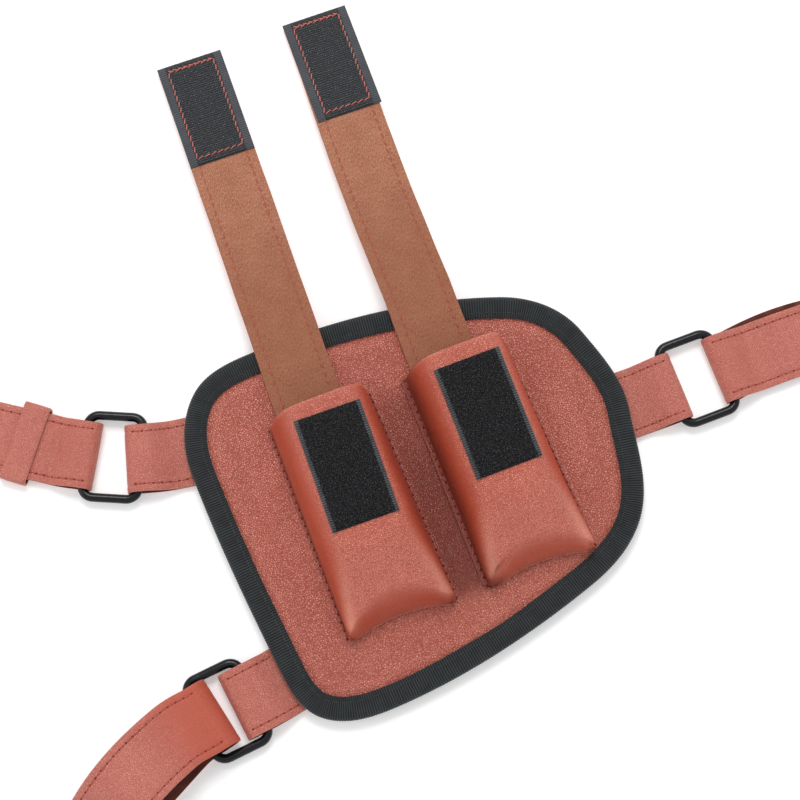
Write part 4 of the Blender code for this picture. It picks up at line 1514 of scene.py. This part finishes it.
def make_flap(side):
    """A flap in two lengths that meet on the bridge, one for its bend at the pouch and the other for its
    bend over the pouch's top; both are built lying open.
    """
    place = flap_matrix(side)
    seed = 12.0 if side == "left" else 17.0
    meet = FLAP_BRIDGE / 2
    lengths = {"lower": (-FLAP_TAIL, meet), "upper": (meet, FLAP_LENGTH)}
    bridge = f"flap_{side}_bridge"
    bodies = {"lower": ("panel", bridge), "upper": (bridge, f"flap_{side}_front")}
    folds = {"lower": 0.0, "upper": FLAP_BRIDGE}
    nodes = {"lower": ("tail", "bridge"), "upper": ("front",)}
    for part, (first, last) in lengths.items():
        steps = round((last - first) / (1.5 * MM))
        alongs = [mix(first, last, k / steps) for k in range(steps + 1)]
        fold = folds[part]
        ends = [place @ flap_point(0.0, fold + reach, -0.9 * MM) for reach in (-3.6 * MM, 3.6 * MM)]
        joined = (*bodies[part], ends[0], ends[1])
        layers = {
            "fabric": (-FLAP_FABRIC, 0.0, FLAP_FABRIC_FINISH, "flap_fabric"),
            "leather": (-FLAP_THICK, -FLAP_FABRIC - 0.02 * MM, FLAP_LEATHER, "leather"),
        }
        for layer, (low, high, finish, slot) in layers.items():
            rows, vs = flap_layer(side, alongs, low, high, seed)
            shape = Shape()
            shape.loft(rows, alongs, vs, tube=True, caps=True)
            shape.uvs = [(v, u) for u, v in shape.uvs]
            shape.piece(
                f"flap_{side}_{part}_{layer}_strip", joined, slot, [finish], place=place,
                stands_for=[f"flap_{side}_{node}_{layer}" for node in nodes[part]], smooth_angle=50,
            )
        threads = Shape()
        holes = Shape()
        stop = last if part == "lower" else FLAP_LENGTH - HOOK_LENGTH + 1.5 * MM
        facing = Vector((0.0, math.sin(FLAP_DROOP), 1.0))
        for sign, up in ((-1, 1.0), (1, 1.0), (-1, -1.0), (1, -1.0)):
            points, normals = [], []
            depth = 0.1 * MM if up > 0 else FLAP_THICK - 0.07 * MM
            for k in range(120):
                along = mix(first, stop, k / 119)
                sway = 0.12 * MM * wobble(Vector((0.0, along, 0.0)), 9 * MM, seed + sign)
                across = flap_bend(along, side) + sign * (FLAP_HALF - 3.5 * MM + sway)
                points.append(place @ flap_point(across, along, flap_wave(across, along, seed) - depth))
                normals.append((place.to_3x3() @ facing).normalized() * up)
            line = Line(points, normals)
            slant = 0.16 * sign
            sew(threads, line, 0.26 * MM, 0.8, 41 + sign, FLAP_PITCH, slant)
            pierce(holes, line, 0.44 * MM, FLAP_PITCH)
        name = f"flap_{side}_{part}"
        threads.piece(f"{name}_stitches", joined, "flap_fabric", [RED_THREAD], outwards=False)
        holes.piece(f"{name}_needle_holes", joined, "flap_fabric", [NEEDLE_HOLE], outwards=False)


def make_hook_tape(side):
    """The hook tape at a flap's end: rows of stiff hooks between selvages, sewn down in a rectangle."""
    picked = random.Random(53 if side == "left" else 59)
    shape = Shape()
    selvage = 3.1 * MM
    half_x = TAPE_WIDTH / 2 - 3.5 * MM
    half_y = HOOK_LENGTH / 2 - 2.6 * MM
    tape_base(shape, TAPE_WIDTH + 0.6 * MM, HOOK_LENGTH + 0.6 * MM, 0.08 * MM, 0.6 * MM, selvage, (0, 1))
    inner = TAPE_WIDTH / 2 - selvage - 0.2 * MM
    row = 0
    y = -HOOK_LENGTH / 2 + 0.5 * MM
    while y < HOOK_LENGTH / 2 - 0.4 * MM:
        x = -inner + (0.4 * MM if row % 2 else 0.0)
        while x < inner:
            aside = picked.uniform(-0.06, 0.06) * MM
            ahead = picked.uniform(-0.08, 0.08) * MM
            foot = Vector((x + aside, y + ahead, 0.45 * MM))
            turn = picked.uniform(-0.35, 0.35) + (math.pi if row % 2 else 0.0)
            height = picked.uniform(0.55, 0.75) * MM
            sewn = max(abs(x) - half_x, abs(y) - half_y)
            if abs(sewn) > 0.55 * MM:
                curl(shape, foot, 0.0, height, 0.52 * MM, turn, 0.11 * MM, 2)
            x += 0.8 * MM
        y += 0.92 * MM
        row += 1
    middle = FLAP_LENGTH - HOOK_LENGTH / 2
    place = flap_matrix(side) @ Matrix.Translation(flap_point(0.0, middle, 0.0))
    place = place @ Matrix.Rotation(-FLAP_DROOP, 4, "X")
    body = f"flap_{side}_front"
    finishes = [HOOK_GROUND, SELVAGE_FINISH, HOOK_FINISH]
    shape.piece(
        f"flap_{side}_hooks", body, "hook_tape", finishes, place=place, outwards=False,
        stands_for=[f"flap_{side}_hook_tape"],
    )
    threads = Shape()
    corners = [(-half_x, half_y), (-half_x, -half_y), (half_x, -half_y), (half_x, half_y)]
    corners += corners[:1]
    height = 0.7 * MM
    turn = place.to_3x3()
    for k, (a, b) in enumerate(zip(corners, corners[1:])):
        ends = [place @ Vector((x, y, height)) for x, y in (a, b)]
        points = [ends[0].lerp(ends[1], t / 30) for t in range(31)]
        for p in points:
            p += turn @ Vector((1.0, 0.0, 0.0)) * (0.12 * MM * wobble(p, 5 * MM, 3.0 + k))
        line = Line(points, [turn @ UP] * 31)
        sew(threads, line, 0.25 * MM, 0.94, 61 + k, 2.5 * MM, 0.3 if k % 2 else -0.3)
        if k == 3:
            back = Line([p + turn @ Vector((0.0, 0.35 * MM, 0.05 * MM)) for p in points], [turn @ UP] * 31)
            sew(threads, back, 0.27 * MM, 0.96, 71, 2.1 * MM, -0.35)
    threads.piece(f"flap_{side}_hook_stitches", body, "hook_tape", [PINK_THREAD], outwards=False)


# ---------------------------------------------------------------- harness links


def strip_station(x, z, length, turn, wave, crossings, rounded):
    """A folded strip's centre, left-hand vector and width at x along it."""
    degrees, share = turn

    def aside(at):
        u = max(0.0, at / STRAP_CLOSING)
        turned = u**3 - 0.5 * u**4 if u < 1.0 else u - 0.5
        swing = share * at + (1.0 - share) * turned * STRAP_CLOSING
        run = min(1.0, max(0.0, at / length))
        fade = 1.0 - smoothstep((run - 0.75) / 0.25) if crossings else 1.0
        ripple = wave * fade * math.sin(math.pi * (1.0 + 0.6 * crossings) * run)
        return math.radians(degrees) * swing + ripple

    step = 0.5 * MM
    yaw = math.atan2(aside(x + step) - aside(x - step), 2 * step)
    width = STRAP_WIDTH - (0.7 * MM * math.exp(-((x / (7 * MM)) ** 2)) if share > FOLD_SHARE else 0.0)
    to_end = length - x
    if rounded and to_end < STRAP_END_RADIUS:
        bite = 1.0 - max(to_end, 0.02 * MM) / STRAP_END_RADIUS
        width -= 2 * STRAP_END_RADIUS * (1.0 - math.sqrt(1.0 - min(1.0, bite) ** 2))
    return Vector((x, aside(x), z)), Vector((-math.sin(yaw), math.cos(yaw), 0.0)), width


def strip_stations(
    length, slack, turn, rise=0.0, lift=0.0, bow=0.0, upper_wave=0.0, lower_wave=0.0, rounded=True
):
    """Stations of a strip folded round a bar at the origin: along the lower layer to the fold, round
    it and back along the upper one. Each also says which run it is on and how far out it is."""
    half = STRAP_THICK / 2
    low = -LOOP_RADIUS - half
    closed_top = low + STRAP_THICK + LAYER_GAP
    open_top = LOOP_RADIUS + half + 2 * rise
    fold_middle = (low + open_top) / 2
    fold_radius = (open_top - low) / 2
    tall = bow > 5 * MM
    plain = length - STRAP_END_RADIUS if rounded else length
    steps = round(plain / (1.4 * MM))
    along = [plain * i / steps for i in range(steps + 1)]
    if rounded:
        along += [length - STRAP_END_RADIUS * d for d in (0.82, 0.64, 0.48, 0.34, 0.22, 0.12, 0.05, 0.01)]

    def raised(x):
        return lift * smoothstep((x - STRAP_CLOSING * 0.4) / STRAP_CLOSING)

    def start(x):
        return mix(-slack, x, smoothstep(x / (3.5 * MM))) if x < 3.5 * MM else x

    stations = []
    for x in reversed(along):
        at = start(x)
        station = strip_station(at, low + raised(x), length, turn, lower_wave, 0, rounded)
        stations.append((*station, "lower", x))
    turns = 22
    for i in range(1, turns):
        angle = math.pi * i / turns
        x = -slack - fold_radius * math.sin(angle)
        z = fold_middle - fold_radius * math.cos(angle)
        station = strip_station(x, z, length, turn, 0.0, 0, rounded)
        stations.append((*station, "fold", x))
    for x in along:
        at = start(x)
        drop = smoothstep((x - WIRE_RADIUS) / STRAP_CLOSING)
        if tall:
            drop = smoothstep((x - length * 0.45) / (length * 0.37))
        arch = bow * math.sin(math.pi * min(1.0, x / (length * 0.82))) ** 2
        z = max(mix(open_top, closed_top, drop), closed_top + raised(x)) + arch
        station = strip_station(at, z, length, turn, upper_wave, 1 if tall else 0, rounded)
        stations.append((*station, "upper", x))
    return stations


STRIP_SHARES = mirror_shares((0.0, 0.018, 0.05, 0.085, 0.105, 0.125, 0.17, 0.26, 0.38, 0.5))


def strip_rows(stations, seed):
    """Sections of a leather strip with rounded edges, a pressed stitch line near each and a soft face."""
    rows, ups = [], []
    for i, (centre, left, width, _, _) in enumerate(stations):
        ahead = stations[min(i + 1, len(stations) - 1)][0]
        behind = stations[max(i - 1, 0)][0]
        up = (ahead - behind).cross(left).normalized()
        ups.append(up)
        outer, inner = [], []
        for s in STRIP_SHARES:
            rim = min(s, 1.0 - s)
            edge = 1.0 - smoothstep(rim / 0.03)
            groove = math.exp(-(((rim - 0.105) / 0.016) ** 2))
            lift = STRAP_THICK / 2 - 0.2 * MM * edge - 0.13 * MM * groove
            at = centre + left * (mix(-1.0, 1.0, s) * width / 2)
            lift += 0.06 * MM * wobble(at, 7 * MM, seed)
            outer.append(at + up * lift)
            inner.append(at - up * (STRAP_THICK / 2 - 0.12 * MM * edge))
        rows.append(outer + inner[::-1])
    return rows, ups


def make_strip(name, body, stations, place, node, seed, fold_shade=0.0):
    """A folded strap or tab: leather outside, napped inside and pale at its cut edges. The last argument
    is how much painted shade darkens its leather near the fold, where its grain is drawn smoother, from 0
    to 1."""
    rows, ups = strip_rows(stations, seed)
    count = len(STRIP_SHARES)
    us = running([s[0] for s in stations])
    across = [s * STRAP_WIDTH for s in STRIP_SHARES]
    vs = across + [STRAP_WIDTH + c for c in across] + [3 * STRAP_WIDTH]

    def mark(j, i):
        if i == count - 1 or i == 2 * count - 1:
            return 2
        return 0 if i < count - 1 else 1

    shape = Shape()
    shape.loft(rows, us, vs, tube=True, mark=mark)
    for j in (0, len(rows) - 1):
        a = j * len(rows[0])
        total = len(rows[0])
        for i in range(count - 1):
            corners = [a + i, a + i + 1, a + total - 2 - i, a + total - 1 - i]
            uvs = [(us[j], vs[i]), (us[j], vs[i + 1]), (us[j], vs[i + 1]), (us[j], vs[i])]
            shape.face(corners, uvs, 2)
    finishes = [STRAP_LEATHER, SUEDE, CUT_EDGE]
    obj = shape.piece(name, body, "leather", finishes, place=place, smooth_angle=55, stands_for=[node])
    # Painted shade near the fold: on the fold and the upper run, fading over about 15 mm, scaled by the
    # last argument.
    taut_and_shaded = obj.data.attributes.new("taut_and_shaded", "FLOAT", "POINT")
    for j, (_, _, _, run, x) in enumerate(stations):
        near_fold = 0.75 * math.exp(-((max(0.0, x) / (15.0 * MM)) ** 2)) if run != "lower" else 0.0
        for i in range(len(rows[0])):
            taut_and_shaded.data[j * len(rows[0]) + i].value = near_fold * fold_shade
    return ups


def strip_stitches(name, body, stations, ups, place, runs, seed):
    """Rows of stitches along both edges of the runs, on the strip's outer face."""
    threads = Shape()
    holes = Shape()
    turn = place.to_3x3()
    for run, start, stop in runs:
        for sign in (-1, 1):
            points, normals = [], []
            for station, up in zip(stations, ups):
                centre, left, width, which, x = station
                if which != run or not start <= x <= stop:
                    continue
                across = sign * max(width / 2 - STRAP_SEAM, 1.0 * MM)
                points.append(place @ (centre + left * across + up * (STRAP_THICK / 2 - 0.1 * MM)))
                normals.append((turn @ up).normalized())
            line = Line(points, normals)
            sew(threads, line, 0.22 * MM, 0.66, seed + sign)
            pierce(holes, line, 0.48 * MM)
    threads.piece(f"{name}_stitches", body, "leather", [STRAP_THREAD], outwards=False)
    holes.piece(f"{name}_needle_holes", body, "leather", [STRAP_HOLE], outwards=False)


def filled_loop(path, widest, spacing):
    """A closed path of (point, outward vector) with more of them where a gap is above widest."""
    full = []
    for i, (point, out) in enumerate(path):
        full.append((point, out))
        after = path[(i + 1) % len(path)][0]
        gap = (after - point).length
        if gap > widest:
            pieces = round(gap / spacing)
            full += [(point.lerp(after, k / pieces), out) for k in range(1, pieces)]
    return full


def make_ring(side, place):
    """A rectangular ring of bent wire, with a faint weld on its inner bar."""
    half = RING_HEIGHT / 2
    corners = ((0.0, -half, 180), (RING_LENGTH, -half, 270), (RING_LENGTH, half, 0), (0.0, half, 90))
    path = []
    for x, y, start in corners:
        middle = Vector((x, y, 0.0))
        middle.x += RING_CORNER if x == 0.0 else -RING_CORNER
        middle.y += RING_CORNER if y < 0.0 else -RING_CORNER
        for k in range(13):
            out = heading_vector(start + 90.0 * k / 12)
            path.append((middle + out * RING_CORNER, out))
    full = filled_loop(path, 3 * MM, 1.5 * MM)
    sides = 18
    rows = []
    for point, out in full:
        weld = math.exp(-((point - Vector((0.0, 2.0 * MM, 0.0))).length / (1.2 * MM)) ** 2)
        radius = WIRE_RADIUS * (1.0 + 0.05 * weld)
        row = []
        for k in range(sides):
            angle = 2 * math.pi * k / sides
            row.append(point + out * (math.cos(angle) * radius) + UP * (math.sin(angle) * radius))
        rows.append(row)
    us = running([p for p, _ in full] + [full[0][0]])
    shape = Shape()
    shape.loft(rows, us, [k / sides * 0.01 for k in range(sides + 1)], tube=True, ring=True)
    body = f"ring_{side}"
    shape.piece(f"ring_{side}_wire", body, "black_steel", [STEEL], place=place, stands_for=[body])


def make_keeper(place, inside):
    """A leather band round both layers of the left strap, with soft corners."""
    half = KEEPER_WIDTH / 2 + KEEPER_THICK / 2
    high = inside / 2 + KEEPER_THICK / 2
    bend = 1.0 * MM
    path = []
    for x, y, start in ((half, high, 0), (-half, high, 90), (-half, -high, 180), (half, -high, 270)):
        middle = Vector((0.0, x - math.copysign(bend, x), y - math.copysign(bend, y)))
        for k in range(7):
            angle = math.radians(start + 15.0 * k)
            out = Vector((0.0, math.cos(angle), math.sin(angle)))
            path.append((middle + out * bend, out))
    full = filled_loop(path, 2 * MM, 1.2 * MM)
    length = KEEPER_LENGTH / 2
    t = KEEPER_THICK / 2
    section = [(-1.0, -t), (-1.0, t - 0.2 * MM), (-0.95, t), (-0.5, t + 0.05 * MM), (0.0, t + 0.08 * MM)]
    section += [(0.5, t + 0.05 * MM), (0.95, t), (1.0, t - 0.2 * MM), (1.0, -t), (0.0, -t)]
    rows = []
    for point, out in full:
        sway = 0.15 * MM * wobble(point, 6 * MM, 4.0)
        rows.append([point + Vector((x * length + sway, 0.0, 0.0)) + out * z for x, z in section])
    us = running([p for p, _ in full] + [full[0][0]])
    vs = [v * MM for v in (0.0, 0.8, 1.1, 3.4, 6, 8.4, 10.6, 11, 12, 17, 22)]
    shape = Shape()
    marks = {0: 1, 7: 1, 8: 2, 9: 2}
    shape.loft(rows, us, vs, tube=True, ring=True, mark=lambda j, i: marks.get(i, 0))
    shape.piece(
        "keeper_left_band", "strap_left", "leather", [STRAP_LEATHER, CUT_EDGE, SUEDE], place=place,
        smooth_angle=50, stands_for=["keeper_left"],
    )


def make_link(side):
    """A tab folded round the ring's near bar, the ring, and the strap folded round its far bar."""
    link = LINKS[side]
    tab_heading, ring_heading, strap_heading = link["headings"]
    bar = Matrix.Translation((link["bar"][0] * MM, link["bar"][1] * MM, BAR_Z))
    ring_turn = Matrix.Rotation(math.radians(ring_heading), 4, "Z")
    tab_turn = Matrix.Rotation(math.radians(ring_heading + 180.0), 4, "Z")
    seed = {"left": 3.0, "right": 7.0, "lower": 11.0}[side]

    length = link["lengths"][0] * MM + TAB_TAIL
    share = link.get("fold_share", FOLD_SHARE)
    turn = (tab_heading - ring_heading, share)
    stations = strip_stations(length, link["slacks"][0] * MM, turn, rounded=False)
    place = bar @ tab_turn
    ups = make_strip(f"tab_{side}_strip", "panel", stations, place, f"tab_{side}", seed)
    reach = link["lengths"][0] * MM
    runs = [(run, 0.0, reach + 1.0 * MM) for run in ("upper", "lower")]
    strip_stitches(f"tab_{side}", "panel", stations, ups, place, runs, seed=81)

    place = bar @ ring_turn
    make_ring(side, place)

    place = place @ Matrix.Translation((RING_LENGTH, 0.0, 0.0))
    length = link["lengths"][1] * MM
    out = strap_heading - ring_heading
    stations = strip_stations(
        length,
        link["slacks"][1] * MM,
        (out, share),
        rise=link.get("rise", 0.0) * MM,
        lift=KEEPER_THICK + LAYER_GAP if side == "left" else 0.0,
        bow=link.get("bow", 0.0) * MM,
        upper_wave=link.get("upper_wave", 0.0) * MM,
        lower_wave=link.get("lower_wave", 0.0) * MM,
    )
    # Painted shade near the fold: full on the lower strap, faint on the others.
    fold_shade = 1.0 if side == "lower" else 0.15
    strap = f"strap_{side}"
    ups = make_strip(f"{strap}_strip", strap, stations, place, strap, seed + 1.0, fold_shade)
    runs = [(run, 0.0, length - 2.5 * MM) for run in ("upper", "lower")]
    strip_stitches(strap, strap, stations, ups, place, runs, seed=91)
    if side == "left":
        inside = 2 * STRAP_THICK + 3 * LAYER_GAP
        aside = strip_station(KEEPER_AT, 0.0, length, (out, share), 0.0, 0, False)[0].y
        at = Matrix.Translation((KEEPER_AT, aside, KEEPER_THICK + inside / 2 - BAR_Z))
        make_keeper(place @ at @ Matrix.Rotation(math.radians(out + KEEPER_TURN), 4, "Z"), inside)


# ---------------------------------------------------------------- stage


VIEW_TARGET = Vector((0.0011, 0.0354, 0.007))
VIEW_UP = Vector((0.3551, 0.9348, 0.0))
VIEW_ELEVATION = math.radians(78.4)
VIEW_DISTANCE = 0.72
FRAME_WIDTH = 0.3


def make_camera():
    """The camera looks steeply down at the panel, with the object turned clockwise of upright."""
    data = bpy.data.cameras.new("camera")
    data.sensor_width = 36.0
    data.lens = 36.0 * VIEW_DISTANCE / FRAME_WIDTH
    camera = shown(bpy.data.objects.new("camera", data))
    back = UP * math.sin(VIEW_ELEVATION) - VIEW_UP * math.cos(VIEW_ELEVATION)
    right = Vector((VIEW_UP.y, -VIEW_UP.x, 0.0))
    turn = Matrix((right, back.cross(right), back)).transposed().to_4x4()
    camera.matrix_world = Matrix.Translation(VIEW_TARGET + back * VIEW_DISTANCE) @ turn
    bpy.context.scene.camera = camera


def add_light(name, towards, distance, size, power, tint=(1.0, 1.0, 1.0)):
    """A square soft light in the direction towards, aimed at the object."""
    data = bpy.data.lights.new(name, "AREA")
    data.size = size
    data.energy = power
    data.color = tint
    light = shown(bpy.data.objects.new(name, data))
    towards = Vector(towards).normalized()
    light.location = VIEW_TARGET + towards * distance
    light.rotation_mode = "QUATERNION"
    light.rotation_quaternion = (-towards).to_track_quat("-Z", "Y")


def make_stage():
    """A pale floor just under the object, an even sky and a large softbox overhead."""
    mesh = bpy.data.meshes.new("floor")
    reach = 4.0
    low = cad_low.z - 0.2 * MM
    corners = [(-reach, -reach, low), (reach, -reach, low), (reach, reach, low), (-reach, reach, low)]
    mesh.from_pydata(corners, [], [(0, 1, 2, 3)])
    mesh.materials.append(floor_finish("floor"))
    floor = shown(bpy.data.objects.new("floor", mesh))
    world = bpy.data.worlds.new("sky")
    world.use_nodes = True
    background = world.node_tree.nodes["Background"].inputs
    background["Color"].default_value = (1.0, 1.0, 1.0, 1.0)
    background["Strength"].default_value = 0.8
    bpy.context.scene.world = world
    bpy.context.scene.view_settings.view_transform = "Standard"
    add_light("softbox", (0.15, 0.6, 1.0), 2.4, 0.9, 26.0)
    add_light("fill", (-1.0, 0.15, 0.6), 2.2, 0.9, 4.5)


def make_panel():
    loop, _ = even_loop(outline(40), 264)
    inward = inward_vectors(loop)
    padding = make_padding(loop, inward)
    make_cover(loop, inward, padding)
    make_lining(loop, inward)
    make_binding()
    make_binding_stitches()


make_camera()
make_stage()
make_panel()
for side in ("left", "right"):
    make_pouch(side)
    make_pouch_stitches(side)
    make_loop_tape(side)
    make_flap(side)
    make_hook_tape(side)
for side in LINKS:
    make_link(side)

bpy.context.view_layer.update()
